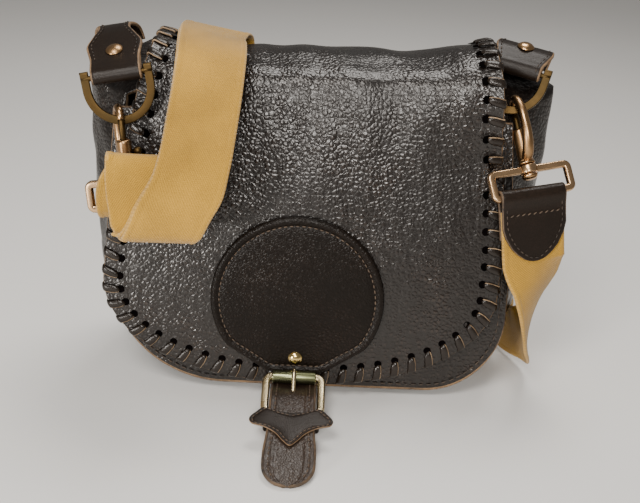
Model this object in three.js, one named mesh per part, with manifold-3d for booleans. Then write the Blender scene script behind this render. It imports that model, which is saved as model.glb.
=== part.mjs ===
// Leather shoulder bag with a full front flap, a round patch with buckle strap, and a webbing
// shoulder strap clipped to two D-rings. Millimetres, +Z up, front towards -Y.
// The origin is the middle of the flat bottom of the gusset, on the surface the bag stands on.

import * as THREE from 'three';
import Module from 'manifold-3d';
import { mergeVertices } from 'three/addons/utils/BufferGeometryUtils.js';

const wasm = await Module();
wasm.setup();

// Body
const BASE_DEPTH = 92;
const FRONT_LEAN = Math.tan(THREE.MathUtils.degToRad(10.5));
const BACK_LEAN = 0.01;
const FRONT_TOP = 178;
const BACK_TOP = 203;
const GUSSET_TOP = 198;
const PANEL_HALF = 127;
const PANEL_HALF_TOP = 116.5;
const CORNER_R = { left: 75, right: 50 };
const PANEL_FOOT = 6;
const SEAM_LIP = 3.5;
const FRONT_BELLY = 5;
const BACK_BELLY = 3;
const PANEL_T = 2.4;
const GUSSET_T = 2.2;
const GAP = 0.4;

// Flap
const FLAP_T = 2.5;
const FLAP_STAND_OFF = 7.5;
const FLAP_CORNER_Z = 76;
const FLAP_BOTTOM_Z = 12.5;
const FLAP_CORNER_POWER = 2.12;
const FLAP_COLUMNS = 24;
const FLAP_FRONT_ROWS = 9;
const FLAP_SAG = 6;
const FLAP_LIFT = { up: 4, out: 6 };

// Round patch and closure, on the axis x = CLOSE_X
const CLOSE_X = -5.5;
const PATCH_Z = 69;
const PATCH_R = 54;
const PATCH_NECK_HALF = 17.2;
const PATCH_NECK_DROP = 49;
const PATCH_T = 2.4;
const PATCH_DOME = 0.8;
const STUD_R = 4.6;
const STUD_Z = 31.5;
const ROLLER = { y: -61, z: 22.5, r: 4.2, half: 13.6 };
const HEEL = { y: -84, z: 11.5 };
const FRAME_ROD = 2.1;
const FRAME_HALF = 17.3;
const CLOSE_T = 3;

// Shoulder strap and its fittings
const WEB_W = 40;
const WEB_T = 2.2;
const TAB_W = 29;
const TAB_T = 2.3;
const DRING = { half: 20.6, band: 4.8, drop: 28.5, straight: 7, up: 4, t: 2.8, pin: 1.6 };
const HOOK = { barrelR: 4.3, barrelH: 22, bore: 2.45, eyeU: 5.9, eyeZ: 32.8 };
const BOLT = { r: 1.95, bottom: 10, top: 33.6, knobR: 2.5, knobOut: 7.4, knobZ: 15, travel: 7 };
const LOOP = { half: 24, drop: 15, rod: 2.05, corner: 3.4, eyeR: 4.7, eyeBore: 2.6, eyeH: 5.2 };

const COLOURS = {
  leather: { color: 0x2a2019, roughness: 0.5, metalness: 0 },
  patch: { color: 0x2e231b, roughness: 0.45, metalness: 0 },
  brown: { color: 0x4a3323, roughness: 0.45, metalness: 0 },
  webbing: { color: 0xc09a5c, roughness: 0.9, metalness: 0 },
  brass: { color: 0x9a7b45, roughness: 0.35, metalness: 1 },
  paleBrass: { color: 0xb8a270, roughness: 0.3, metalness: 1 },
  copper: { color: 0xa06f45, roughness: 0.35, metalness: 1 },
};

const V = (x, y, z) => new THREE.Vector3(x, y, z);
const lerp = THREE.MathUtils.lerp;
const smooth = (a, b, t) => THREE.MathUtils.smoothstep(t, a, b);
const rad = THREE.MathUtils.degToRad;
const flat = (pairs) => pairs.map(([a, b]) => new THREE.Vector2(a, b));

// Value of a table of rows { at, value } at t, straight between rows
function look(table, t) {
  const up = table[0].at < table[table.length - 1].at;
  const rows = up ? table : [...table].reverse();
  if (t <= rows[0].at) {
    return rows[0].value;
  }
  for (let i = 1; i < rows.length; i += 1) {
    if (t <= rows[i].at) {
      const k = (t - rows[i - 1].at) / (rows[i].at - rows[i - 1].at);
      return lerp(rows[i - 1].value, rows[i].value, k);
    }
  }
  return rows[rows.length - 1].value;
}

// Solid helpers

function signedVolume(pos, tri) {
  let sum = 0;
  for (const [a, b, c] of tri) {
    sum += pos[a].dot(V(0, 0, 0).crossVectors(pos[b], pos[c])) / 6;
  }
  return sum;
}

function toGeometry(pos, tri) {
  const turned = signedVolume(pos, tri) < 0;
  const geometry = new THREE.BufferGeometry();
  const numbers = new Float32Array(pos.flatMap((p) => [p.x, p.y, p.z]));
  geometry.setAttribute('position', new THREE.BufferAttribute(numbers, 3));
  geometry.setIndex(tri.flatMap(([a, b, c]) => (turned ? [a, c, b] : [a, b, c])));
  return geometry;
}

// Two faces of a grid, outer and inner, joined round their edge
function slab(outer, inner) {
  const rows = outer.length;
  const cols = outer[0].length;
  const pos = [...outer.flat(), ...inner.flat()];
  const a = (i, j) => i * cols + j;
  const b = (i, j) => rows * cols + i * cols + j;
  const tri = [];
  for (let i = 0; i + 1 < rows; i += 1) {
    for (let j = 0; j + 1 < cols; j += 1) {
      tri.push([a(i, j), a(i + 1, j), a(i + 1, j + 1)], [a(i, j), a(i + 1, j + 1), a(i, j + 1)]);
      tri.push([b(i, j), b(i + 1, j + 1), b(i + 1, j)], [b(i, j), b(i, j + 1), b(i + 1, j + 1)]);
    }
  }
  const count = (n, make) => Array.from({ length: n }, (_, k) => make(k));
  const rim = [
    ...count(cols - 1, (k) => [0, k]),
    ...count(rows - 1, (k) => [k, cols - 1]),
    ...count(cols - 1, (k) => [rows - 1, cols - 1 - k]),
    ...count(rows - 1, (k) => [rows - 1 - k, 0]),
  ];
  rim.forEach(([i, j], k) => {
    const [m, n] = rim[(k + 1) % rim.length];
    tri.push([a(i, j), a(m, n), b(m, n)], [a(i, j), b(m, n), b(i, j)]);
  });
  return toGeometry(pos, tri);
}

// Normals of a grid by differences, and the same grid moved along them
function shifted(grid, distance, towards) {
  const rows = grid.length;
  const cols = grid[0].length;
  return grid.map((row, i) => row.map((p, j) => {
    const du = grid[i][Math.min(j + 1, cols - 1)].clone().sub(grid[i][Math.max(j - 1, 0)]);
    const dv = grid[Math.min(i + 1, rows - 1)][j].clone().sub(grid[Math.max(i - 1, 0)][j]);
    const n = du.cross(dv).normalize();
    if (n.dot(towards(p, i, j)) < 0) {
      n.negate();
    }
    return p.clone().addScaledVector(n, distance);
  }));
}

// A row of closed rings joined into one solid; the ends are capped, or joined to each other
function loft(rings, joined = false) {
  const m = rings[0].length;
  const pos = rings.flat();
  const tri = [];
  const last = joined ? rings.length : rings.length - 1;
  for (let i = 0; i < last; i += 1) {
    const k = (i + 1) % rings.length;
    for (let j = 0; j < m; j += 1) {
      const n = (j + 1) % m;
      tri.push([i * m + j, k * m + j, k * m + n], [i * m + j, k * m + n, i * m + n]);
    }
  }
  if (!joined) {
    const end = (rings.length - 1) * m;
    for (let j = 1; j + 1 < m; j += 1) {
      tri.push([0, j, j + 1], [end, end + j + 1, end + j]);
    }
  }
  return toGeometry(pos, tri);
}

// Rod of round section along points, its radius from the list
function rod(points, radii, sides, joined = false) {
  const n = points.length;
  const rings = points.map((p, i) => {
    const before = points[joined ? (i + n - 1) % n : Math.max(i - 1, 0)];
    const after = points[joined ? (i + 1) % n : Math.min(i + 1, n - 1)];
    const t = after.clone().sub(before).normalize();
    const side = V(0, 1, 0).cross(t).normalize();
    const up = t.clone().cross(side);
    const r = Array.isArray(radii) ? radii[i] : radii;
    return Array.from({ length: sides }, (_, k) => {
      const f = (2 * Math.PI * (k + 0.5)) / sides;
      return p.clone().addScaledVector(side, r * Math.cos(f)).addScaledVector(up, r * Math.sin(f));
    });
  });
  return loft(rings, joined);
}

// Flat strip along stations { p, w, half, t }: centre, width direction, half width, thickness
function strip(stations) {
  const n = stations.length;
  const rings = stations.map((s, i) => {
    const t = stations[Math.min(i + 1, n - 1)].p.clone().sub(stations[Math.max(i - 1, 0)].p);
    t.normalize();
    const w = s.w.clone().addScaledVector(t, -s.w.dot(t)).normalize();
    const normal = w.clone().cross(t);
    return [[-1, -1], [1, -1], [1, 1], [-1, 1]].map(([a, b]) => s.p.clone()
      .addScaledVector(w, a * s.half)
      .addScaledVector(normal, (b * s.t) / 2));
  });
  return loft(rings);
}

// Outline of a thick line through 2-D points, made round by a spline
function thickShape(points, t, samples) {
  const curve = new THREE.SplineCurve(flat(points));
  const left = [];
  const right = [];
  for (let i = 0; i <= samples; i += 1) {
    const p = curve.getPointAt(i / samples);
    const d = curve.getTangentAt(i / samples);
    left.push(new THREE.Vector2(p.x - (d.y * t) / 2, p.y + (d.x * t) / 2));
    right.push(new THREE.Vector2(p.x + (d.y * t) / 2, p.y - (d.x * t) / 2));
  }
  return new THREE.Shape([...left, ...right.reverse()]);
}

// A profile in Y and Z carried along X from -width / 2 to width / 2
function alongX(shape, width) {
  const geometry = new THREE.ExtrudeGeometry(shape, { depth: width, bevelEnabled: false });
  geometry.translate(0, 0, -width / 2);
  geometry.applyMatrix4(new THREE.Matrix4().makeBasis(V(0, 1, 0), V(0, 0, 1), V(1, 0, 0)));
  return geometry;
}

// A profile in X and Z with its thickness along Y
function alongY(shape, depth) {
  const geometry = new THREE.ExtrudeGeometry(shape, { depth, bevelEnabled: false });
  geometry.translate(0, 0, -depth / 2);
  geometry.applyMatrix4(new THREE.Matrix4().makeBasis(V(1, 0, 0), V(0, 0, 1), V(0, -1, 0)));
  return geometry;
}

// Turned piece about the Z axis from rows of radius and height, closed on the axis or as a tube
function turned(profile, sides) {
  return new THREE.LatheGeometry(flat(profile), sides).rotateX(Math.PI / 2);
}

function toManifold(geometry) {
  const bare = geometry.clone();
  bare.deleteAttribute('normal');
  bare.deleteAttribute('uv');
  const merged = mergeVertices(bare, 1e-4);
  const index = Array.from(merged.index.array);
  const kept = [];
  for (let i = 0; i < index.length; i += 3) {
    const [a, b, c] = index.slice(i, i + 3);
    if (a !== b && b !== c && a !== c) {
      kept.push(a, b, c);
    }
  }
  const position = merged.attributes.position;
  const pos = Array.from({ length: position.count }, (_, i) => V(0, 0, 0).fromBufferAttribute(position, i));
  const tri = [];
  for (let i = 0; i < kept.length; i += 3) {
    tri.push(kept.slice(i, i + 3));
  }
  const right = toGeometry(pos, tri);
  const mesh = new wasm.Mesh({
    numProp: 3,
    vertProperties: new Float32Array(right.attributes.position.array),
    triVerts: new Uint32Array(right.index.array),
  });
  return new wasm.Manifold(mesh);
}

function fromManifold(solid) {
  const mesh = solid.getMesh();
  const geometry = new THREE.BufferGeometry();
  geometry.setAttribute('position', new THREE.BufferAttribute(mesh.vertProperties, 3));
  geometry.setIndex(Array.from(mesh.triVerts));
  return geometry;
}

const union = (...list) => fromManifold(list.map(toManifold).reduce((a, b) => a.add(b)));
const cut = (body, ...tools) => fromManifold(
  tools.map(toManifold).reduce((a, b) => a.subtract(b), toManifold(body)),
);

// Surfaces of the body

const frontY = (z) => -BASE_DEPTH / 2 + FRONT_LEAN * z;
const backY = (z) => BASE_DEPTH / 2 + BACK_LEAN * z;
const panelHalf = (z) => {
  const k = THREE.MathUtils.clamp((z - 46) / 154, 0, 1);
  return lerp(PANEL_HALF, PANEL_HALF_TOP, k * k);
};
const belly = (x, z) => Math.cos((Math.PI / 2) * Math.min(Math.abs(x) / panelHalf(z), 1))
  * Math.sin((Math.PI * THREE.MathUtils.clamp(z, 0, 200)) / 200);

// Columns of a panel: places along its bottom edge, the corners turned with CORNER_R
function panelColumns() {
  const corner = (side) => Array.from({ length: 5 }, (_, i) => {
    const r = CORNER_R[side];
    const f = (Math.PI / 2) * ((i + 1) / 5);
    return { x: PANEL_HALF - r + r * Math.sin(f), z: PANEL_FOOT + r * (1 - Math.cos(f)) };
  });
  const from = CORNER_R.left - PANEL_HALF;
  const to = PANEL_HALF - CORNER_R.right;
  const middle = Array.from({ length: 9 }, (_, i) => ({ x: lerp(from, to, i / 8), z: PANEL_FOOT }));
  return [...corner('left').map((c) => ({ x: -c.x, z: c.z })).reverse(), ...middle, ...corner('right')];
}

function panel(top, rows, surface, inward) {
  const columns = panelColumns();
  const outer = Array.from({ length: rows + 1 }, (_, i) => columns.map((c) => {
    const z = lerp(c.z, top, i / rows);
    const x = (c.x / PANEL_HALF) * panelHalf(z);
    return V(x, surface(x, z), z);
  }));
  const inner = outer.map((row) => row.map((p) => p.clone().add(V(0, inward * PANEL_T, 0))));
  return slab(outer, inner);
}

const frontSurface = (x, z) => frontY(z) - FRONT_BELLY * belly(x, z);
const backSurface = (x, z) => backY(z) + BACK_BELLY * belly(x, z);

// How far the middle fold of the gusset stands out, by height
const FOLD_SHARE = { left: 0.8, right: 1 };
const FOLD_OUT = [
  { at: 198, value: 35 },
  { at: 165, value: 30 },
  { at: 130, value: 25.5 },
  { at: 80, value: 18.5 },
  { at: 42, value: 13 },
];
const GUSSET_FOOT = PANEL_FOOT + SEAM_LIP;

// Stations down one side of the gusset and round its corner: seam place, outward direction, bulge;
// low is 0 on the side, where the gusset is folded, and 1 on the bottom, where it is flat
function gussetSide(side) {
  const r = CORNER_R[side] - SEAM_LIP;
  const flat = PANEL_HALF - CORNER_R[side];
  const cornerTop = GUSSET_FOOT + r;
  const heights = [GUSSET_TOP, 182, 165, 148, 130, 112, 95, 78, 66].filter((z) => z > cornerTop + 5);
  const upper = heights.map((z) => ({
    x: panelHalf(z) - SEAM_LIP, z, nx: 1, nz: 0, out: FOLD_SHARE[side] * look(FOLD_OUT, z), low: 0,
  }));
  const corner = Array.from({ length: 7 }, (_, i) => {
    const f = (Math.PI / 2) * (1 - i / 6);
    const side90 = Math.sin(f) ** 2.2;
    return {
      x: flat + r * Math.sin(f),
      z: GUSSET_FOOT + r * (1 - Math.cos(f)),
      nx: Math.sin(f),
      nz: -Math.cos(f),
      out: lerp(GUSSET_FOOT, FOLD_SHARE[side] * look(FOLD_OUT, cornerTop), side90),
      low: 1 - side90,
    };
  });
  return [...upper, ...corner];
}

function gusset() {
  const right = gussetSide('right');
  const left = gussetSide('left').map((s) => ({ ...s, x: -s.x, nx: -s.nx })).reverse();
  const middle = [0.25, 0.5, 0.75].map((k) => ({
    x: lerp(right[right.length - 1].x, left[0].x, k), z: GUSSET_FOOT, nx: 0, nz: -1, out: GUSSET_FOOT, low: 1,
  }));
  const cells = 8;
  const outer = [...right, ...middle, ...left].map((s) => Array.from({ length: cells + 1 }, (_, j) => {
    const t = j / cells;
    const d = Math.abs(2 * t - 1);
    const bulge = s.out * lerp(1 - d ** 1.5, Math.min(1, 2 * (1 - d)), s.low);
    const slope = (lerp(FRONT_TOP, BACK_TOP, t) - GUSSET_TOP) * smooth(110, GUSSET_TOP, s.z);
    const y = lerp(frontY(s.z) + PANEL_T + GAP, backY(s.z) - PANEL_T - GAP, t);
    return V(s.x + s.nx * bulge, y, s.z + s.nz * bulge + slope);
  }));
  return slab(outer, shifted(outer, GUSSET_T, (p) => V(-p.x, 0, 60 - p.z)));
}

// Flap: rows over the back and the top, then down the front to the rounded bottom edge
const FLAP_TOP = [
  { y: 51.8, z: 178 },
  { y: 52, z: 194 },
  { y: 50.3, z: 205 },
  { y: 45, z: 212 },
  { y: 36, z: 216 },
  { y: 25, z: 217.5 },
  { y: 13, z: 217 },
  { y: 2, z: 214 },
  { y: -7.5, z: 208.5 },
  { y: -13.8, z: 201 },
  { y: -17.6, z: 192 },
];
const FLAP_HALF = [
  { at: 217, value: 101.5 },
  { at: 201, value: 105.5 },
  { at: 186, value: 108 },
  { at: 168, value: 110.5 },
  { at: 144, value: 115.5 },
  { at: 98, value: 122 },
  { at: 76, value: 122.8 },
];
const flapAxis = (z) => THREE.MathUtils.clamp(0.0625 * (z - 140), -4, 5);
const flapFront = (x, z) => frontSurface(x, z) - FLAP_STAND_OFF;

function flap() {
  const across = (j) => Math.sin(Math.PI * (j / FLAP_COLUMNS - 0.5));
  const columns = Array.from({ length: FLAP_COLUMNS + 1 }, (_, j) => across(j));
  const bottom = (u) => FLAP_CORNER_Z - (FLAP_CORNER_Z - FLAP_BOTTOM_Z)
    * (1 - Math.abs(u) ** FLAP_CORNER_POWER) ** (1 / FLAP_CORNER_POWER);
  const outer = FLAP_TOP.map((row, i) => columns.map((u) => {
    const lift = smooth(0.45, 1, u) * smooth(2, 7, i);
    const sag = FLAP_SAG * (1 - u ** 4) * smooth(203, 213, row.z);
    const x = flapAxis(row.z) + u * look(FLAP_HALF, row.z);
    return V(x, row.y - FLAP_LIFT.out * lift, row.z + FLAP_LIFT.up * lift - sag);
  }));
  for (let i = 1; i <= FLAP_FRONT_ROWS; i += 1) {
    outer.push(columns.map((u) => {
      const z = lerp(192, bottom(u), i / FLAP_FRONT_ROWS);
      const x = flapAxis(z) + u * look(FLAP_HALF, z);
      const lift = smooth(0.45, 1, u) * smooth(150, 195, z);
      return V(x, flapFront(x, z) - FLAP_LIFT.out * lift, z);
    }));
  }
  const inner = shifted(outer, FLAP_T, (p) => V(0, 18 - p.y, 120 - p.z));
  return slab(outer, inner);
}

// Round patch: distance of its edge from the middle, by angle from straight up
function patchEdge(f) {
  const chordStart = new THREE.Vector2(44, -31.3);
  const chordEnd = new THREE.Vector2(PATCH_NECK_HALF, -PATCH_NECK_DROP);
  const along = chordEnd.clone().sub(chordStart);
  const normal = new THREE.Vector2(-along.y, along.x).normalize();
  const distance = Math.abs(normal.dot(chordStart));
  const dir = new THREE.Vector2(Math.abs(Math.sin(f)), Math.cos(f));
  const facing = Math.abs(normal.dot(dir));
  const chord = normal.dot(dir) * normal.dot(chordStart) > 0 ? distance / facing : Infinity;
  const neck = dir.y < 0 ? PATCH_NECK_DROP / -dir.y : Infinity;
  return Math.min(PATCH_R, chord, neck);
}

function roundPatch() {
  const angles = 44;
  const rings = [0.35, 0.7, 0.93, 1];
  const cosLean = Math.cos(Math.atan(FRONT_LEAN));
  const at = (k, f, off) => {
    const r = k * patchEdge(f);
    const x = CLOSE_X + r * Math.sin(f);
    const z = PATCH_Z + r * Math.cos(f) * cosLean;
    return V(x, flapFront(x, z) - off / cosLean, z);
  };
  const high = (k) => GAP + PATCH_T + PATCH_DOME * (1 - k * k);
  const pos = [at(0, 0, high(0)), at(0, 0, GAP)];
  const tri = [];
  const ring = (i, j, side) => 2 + side * rings.length * angles + i * angles + (j % angles);
  for (const side of [0, 1]) {
    for (const k of rings) {
      for (let j = 0; j < angles; j += 1) {
        pos.push(at(k, (2 * Math.PI * (j + 0.5)) / angles, side === 0 ? high(k) : GAP));
      }
    }
  }
  for (let j = 0; j < angles; j += 1) {
    tri.push([0, ring(0, j, 0), ring(0, j + 1, 0)], [1, ring(0, j + 1, 1), ring(0, j, 1)]);
    for (let i = 0; i + 1 < rings.length; i += 1) {
      tri.push([ring(i, j, 0), ring(i + 1, j, 0), ring(i + 1, j + 1, 0)]);
      tri.push([ring(i, j, 0), ring(i + 1, j + 1, 0), ring(i, j + 1, 0)]);
      tri.push([ring(i, j, 1), ring(i + 1, j + 1, 1), ring(i + 1, j, 1)]);
      tri.push([ring(i, j, 1), ring(i, j + 1, 1), ring(i + 1, j + 1, 1)]);
    }
    const e = rings.length - 1;
    tri.push([ring(e, j, 0), ring(e, j, 1), ring(e, j + 1, 1)]);
    tri.push([ring(e, j, 0), ring(e, j + 1, 1), ring(e, j + 1, 0)]);
  }
  return toGeometry(pos, tri);
}

function dome(r, h, sides) {
  const rows = [[0, 0], [r, 0], [r, 0.25 * h], [0.86 * r, 0.62 * h], [0.5 * r, 0.92 * h], [0, h]];
  return turned(rows, sides);
}

// Buckle plane: d runs from the roller to the heel bar, n stands out of it
const frameLength = Math.hypot(HEEL.y - ROLLER.y, HEEL.z - ROLLER.z);
const frameD = V(0, (HEEL.y - ROLLER.y) / frameLength, (HEEL.z - ROLLER.z) / frameLength);
const frameN = V(0, frameD.z, -frameD.y);
const inFrame = (x, d, n) => V(CLOSE_X + x, ROLLER.y, ROLLER.z)
  .addScaledVector(frameD, d)
  .addScaledVector(frameN, n);

// Rounded rectangle in two axes, as points
function roundedLoop(halfW, low, high, corner, perCorner) {
  const centres = [[halfW - corner, high - corner], [corner - halfW, high - corner],
    [corner - halfW, low + corner], [halfW - corner, low + corner]];
  return centres.flatMap(([a, b], q) => Array.from({ length: perCorner }, (_, k) => {
    const f = (Math.PI / 2) * (q + k / (perCorner - 1));
    return [a + corner * Math.cos(f), b + corner * Math.sin(f)];
  }));
}

function buckleFrame() {
  const points = roundedLoop(FRAME_HALF, 0, frameLength, 4, 4).map(([a, b]) => inFrame(a, b, 0));
  const n = points.length;
  const rings = points.map((p, i) => {
    const t = points[(i + 1) % n].clone().sub(points[(i + n - 1) % n]).normalize();
    const side = frameN.clone().cross(t).normalize();
    return Array.from({ length: 8 }, (_, k) => {
      const f = (2 * Math.PI * (k + 0.5)) / 8;
      const out = FRAME_ROD * Math.cos(f);
      const up = FRAME_ROD * Math.sin(f);
      return p.clone().addScaledVector(side, out).addScaledVector(frameN, up);
    });
  });
  return loft(rings, true);
}

function buckleRoller() {
  const bore = FRAME_ROD + 0.45;
  const h = ROLLER.half;
  const r = ROLLER.r;
  const edge = 0.4;
  const outer = [[r - edge, -h], [r, edge - h], [r, h - edge], [r - edge, h]];
  const rows = [[bore, -h], ...outer, [bore, h], [bore, -h]];
  const geometry = turned(rows, 14).rotateY(Math.PI / 2);
  return geometry.translate(CLOSE_X, ROLLER.y, ROLLER.z);
}

// Prong: an eye on the heel bar and an arm through the strap, resting on the roller
const PRONG = [
  { d: 22.6, n: 0, r: 1.5 },
  { d: 17, n: 0.1, r: 1.5 },
  { d: 12, n: 1.7, r: 1.5 },
  { d: 6, n: 4.2, r: 1.45 },
  { d: 1, n: 6.2, r: 1.35 },
  { d: -2, n: 6.6, r: 1.15 },
];
function buckleProng() {
  const bore = FRAME_ROD + 0.35;
  const ring = turned([[bore, -1.9], [bore + 1.5, -1.9], [bore + 1.5, 1.9], [bore, 1.9], [bore, -1.9]], 12);
  ring.rotateY(Math.PI / 2).translate(CLOSE_X, HEEL.y, HEEL.z);
  const arm = rod(PRONG.map((s) => inFrame(0, s.d, s.n)), PRONG.map((s) => s.r), 8);
  return union(ring, arm);
}

// Closure strap, in the plane x = CLOSE_X, from under the neck to its rounded end
const CLOSURE = [
  { y: -53.7, z: 19.8, half: 14.6 },
  { y: -55.2, z: 17.6, half: 14.5 },
  { y: -58.6, z: 16.2, half: 14.3 },
  { y: -65, z: 16.9, half: 14.2 },
  { y: -71.4, z: 18.7, half: 14.2 },
  { y: -78.2, z: 19.4, half: 14.2 },
  { y: -86.7, z: 17.4, half: 14.3 },
  { y: -96, z: 14.2, half: 14.4 },
  { y: -106, z: 11.2, half: 14.7 },
  { y: -114, z: 8.9, half: 15.6 },
  { y: -122, z: 6.7, half: 15.8 },
  { y: -129, z: 4.7, half: 15.2 },
  { y: -134, z: 3.3, half: 12.6 },
  { y: -137, z: 2.5, half: 9.4 },
  { y: -139, z: 1.9, half: 3.5 },
];
function closureStrap() {
  const stations = CLOSURE.map((s) => ({ p: V(CLOSE_X, s.y, s.z), w: V(1, 0, 0), half: s.half, t: CLOSE_T }));
  const slot = new THREE.BoxGeometry(5, 14, 14);
  const basis = new THREE.Matrix4().makeBasis(V(1, 0, 0), frameD, frameN.clone().negate());
  slot.applyMatrix4(basis.setPosition(inFrame(0, 9.5, 1)));
  return cut(strip(stations), slot);
}

// Chape: a strip from the foot of the front panel, once round the heel bar, slit for the prong
function buckleChape() {
  const c = HEEL;
  const r = FRAME_ROD + 0.4 + 0.9;
  const onBar = (a) => [c.y + r * Math.cos(rad(a)), c.z + r * Math.sin(rad(a))];
  const turn = [250, 205, 160, 115, 70, 25, -10].map(onBar);
  const run = [[-45.3, 22], [-46.2, 13], [-49, 6.6], [-56, 4.6], [-69, 5.4], [-79, 7.2]];
  const shape = thickShape([...run, ...turn], 1.8, 30);
  const slit = new THREE.BoxGeometry(6, 16, 20).translate(0, c.y - 1, c.z);
  return cut(alongX(shape, 25), slit).translate(CLOSE_X, 0, 0);
}

// Keeper: a loop round the strap with a pointed leather front, on the strap's slope
const KEEPER_AT = { y: -97, z: 13.9 };
const KEEPER_FRONT = [[0, 5], [9, 6.2], [17, 8.6], [21, 5.5], [25, 0.5], [24, -2.6], [16, -5.2],
  [9, -9.5], [4, -15], [0, -18]];
function keeper() {
  const other = KEEPER_FRONT.slice(1, -1).map(([x, z]) => [-x, z]).reverse();
  const shape = new THREE.Shape(flat([...KEEPER_FRONT, ...other]));
  const top = CLOSE_T / 2 + GAP;
  const front = alongY(shape, 1.9).translate(0, -(top + 0.95), 0);
  const inside = 14.5 + GAP + 0.2;
  const ring = new THREE.Shape(flat(roundedLoop(inside + 1.8, -top - 1.8, top + 1, 1.6, 3)));
  ring.holes.push(new THREE.Path(flat(roundedLoop(inside, -top, top, 0.5, 2))));
  const band = new THREE.ExtrudeGeometry(ring, { depth: 9, bevelEnabled: false });
  band.applyMatrix4(new THREE.Matrix4().makeBasis(V(1, 0, 0), V(0, -1, 0), V(0, 0, 1)));
  band.translate(0, 0, -4.5);
  const slope = Math.atan2(CLOSURE[11].z - CLOSURE[7].z, CLOSURE[11].y - CLOSURE[7].y) + Math.PI;
  return union(front, band).rotateX(-(Math.PI / 2 - slope)).translate(CLOSE_X, KEEPER_AT.y, KEEPER_AT.z);
}

// D-ring: a flat bar bent to a U with a straight pin through its cut ends, pin at the origin
function dring() {
  const d = DRING;
  const bend = (half, drop) => {
    const round = Array.from({ length: 15 }, (_, i) => {
      const f = Math.PI * (i / 14);
      return [half * Math.cos(f), -d.straight - (drop - d.straight) * Math.sin(f)];
    });
    return [[half, d.up], ...round, [-half, d.up]];
  };
  const outer = bend(d.half, d.drop);
  const inner = bend(d.half - d.band, d.drop - d.band);
  const bar = alongY(new THREE.Shape(flat([...outer, ...inner.reverse()])), d.t);
  const pin = new THREE.CylinderGeometry(d.pin, d.pin, 2 * d.half - 2, 10).rotateZ(Math.PI / 2);
  return union(bar, pin);
}

// Leather tab: profile from its back end over the top, down to the pin and back up under itself,
// and its half width along that way; the left one has a waist over the top
const TABS = {
  left: {
    pin: V(-114, -26.5, 201.5),
    rivet: 0.51,
    half: [
      { at: 0, value: 15.5 },
      { at: 0.1, value: 14.5 },
      { at: 0.2, value: 10 },
      { at: 0.28, value: 9.5 },
      { at: 0.36, value: 13 },
      { at: 0.44, value: 17 },
      { at: 0.58, value: TAB_W / 2 },
    ],
    profile: [[60, 5], [59.4, 9.4], [54, 15.6], [46, 18.2], [34, 16.4], [22, 11.6], [12, 7.8], [4, 5.4],
      [-1.5, 3.2], [-3.3, -0.6], [-1.2, -3.1], [2.2, -2.2], [6.5, 0.8], [12, 3.9], [19, 6.6]],
  },
  right: {
    pin: V(121.3, 4, 207.5),
    rivet: 0.36,
    half: [
      { at: 0, value: 15.5 },
      { at: 0.38, value: 18 },
      { at: 0.56, value: TAB_W / 2 },
    ],
    profile: [[27, -3.6], [26.6, 2], [23, 7.6], [17, 10], [10, 9.2], [4, 6], [-1.5, 3.3],
      [-3.3, -0.6], [-1.2, -3.1], [2.2, -2.2], [6.5, 0.8], [10.5, 3.6], [15.5, 5.4]],
  },
};
function tab(side) {
  const curve = new THREE.SplineCurve(flat(TABS[side].profile));
  const samples = 44;
  return strip(Array.from({ length: samples + 1 }, (_, i) => {
    const p = curve.getPointAt(i / samples);
    return { p: V(0, p.x, p.y), w: V(1, 0, 0), half: look(TABS[side].half, i / samples), t: TAB_T };
  }));
}
function rivetPlace(side) {
  const curve = new THREE.SplineCurve(flat(TABS[side].profile));
  const p = curve.getPointAt(TABS[side].rivet);
  const d = curve.getTangentAt(TABS[side].rivet);
  const n = new THREE.Vector2(d.y, -d.x).normalize();
  if (n.y < 0) {
    n.negate();
  }
  return { p, n };
}

// Snap hook: barrel on the Z axis with the bolt's bore and slot, a curved spine towards +X that
// comes over to a nose above the bolt, and below a swivel stem with a button
const SPINE = [
  { u: 2.2, z: 3.5, r: 3.3 },
  { u: 7, z: 6.8, r: 3.3 },
  { u: 11.2, z: 13.6, r: 3.1 },
  { u: 13, z: 22.6, r: 2.8 },
  { u: 12.4, z: 31, r: 2.7 },
  { u: 9.6, z: 37.1, r: 2.6 },
  { u: 5.6, z: 39.9, r: 2.5 },
  { u: 1.9, z: 38.8, r: 2.3 },
  { u: 0.2, z: 36, r: 2.15 },
  { u: 0, z: 34, r: 2.1 },
];
function hook(knobTurn) {
  const h = HOOK;
  const stem = [[0, -9.6], [3.4, -9.6], [3.8, -8.6], [3.4, -6.3], [2.2, -6.1], [2.2, 0]];
  const r = h.barrelR;
  const top = h.barrelH;
  const tube = [[r - 0.6, 0], [r, 0.7], [r, top - 0.6], [r - 0.7, top]];
  const barrel = turned([...stem, ...tube, [0, h.barrelH]], 12);
  const curve = new THREE.CatmullRomCurve3(SPINE.map((s) => V(s.u, 0, s.z)));
  const count = 16;
  const points = Array.from({ length: count + 1 }, (_, i) => curve.getPoint(i / count));
  const table = SPINE.map((s, i) => ({ at: i / (SPINE.length - 1), value: s.r }));
  const spine = rod(points, points.map((_, i) => look(table, i / count)), 8);
  const boreFloor = 1.6;
  const boreTop = h.barrelH + 6;
  const bore = new THREE.CylinderGeometry(h.bore, h.bore, boreTop - boreFloor, 12).rotateX(Math.PI / 2)
    .translate(0, 0, (boreTop + boreFloor) / 2);
  const slotTop = BOLT.knobZ + 1.75;
  const slotLow = BOLT.knobZ - BOLT.travel - 1.75;
  const slot = new THREE.BoxGeometry(7, 3.1, slotTop - slotLow).translate(3.5, 0, (slotTop + slotLow) / 2);
  slot.rotateZ(rad(knobTurn));
  return cut(union(barrel, spine), bore, slot);
}
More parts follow.
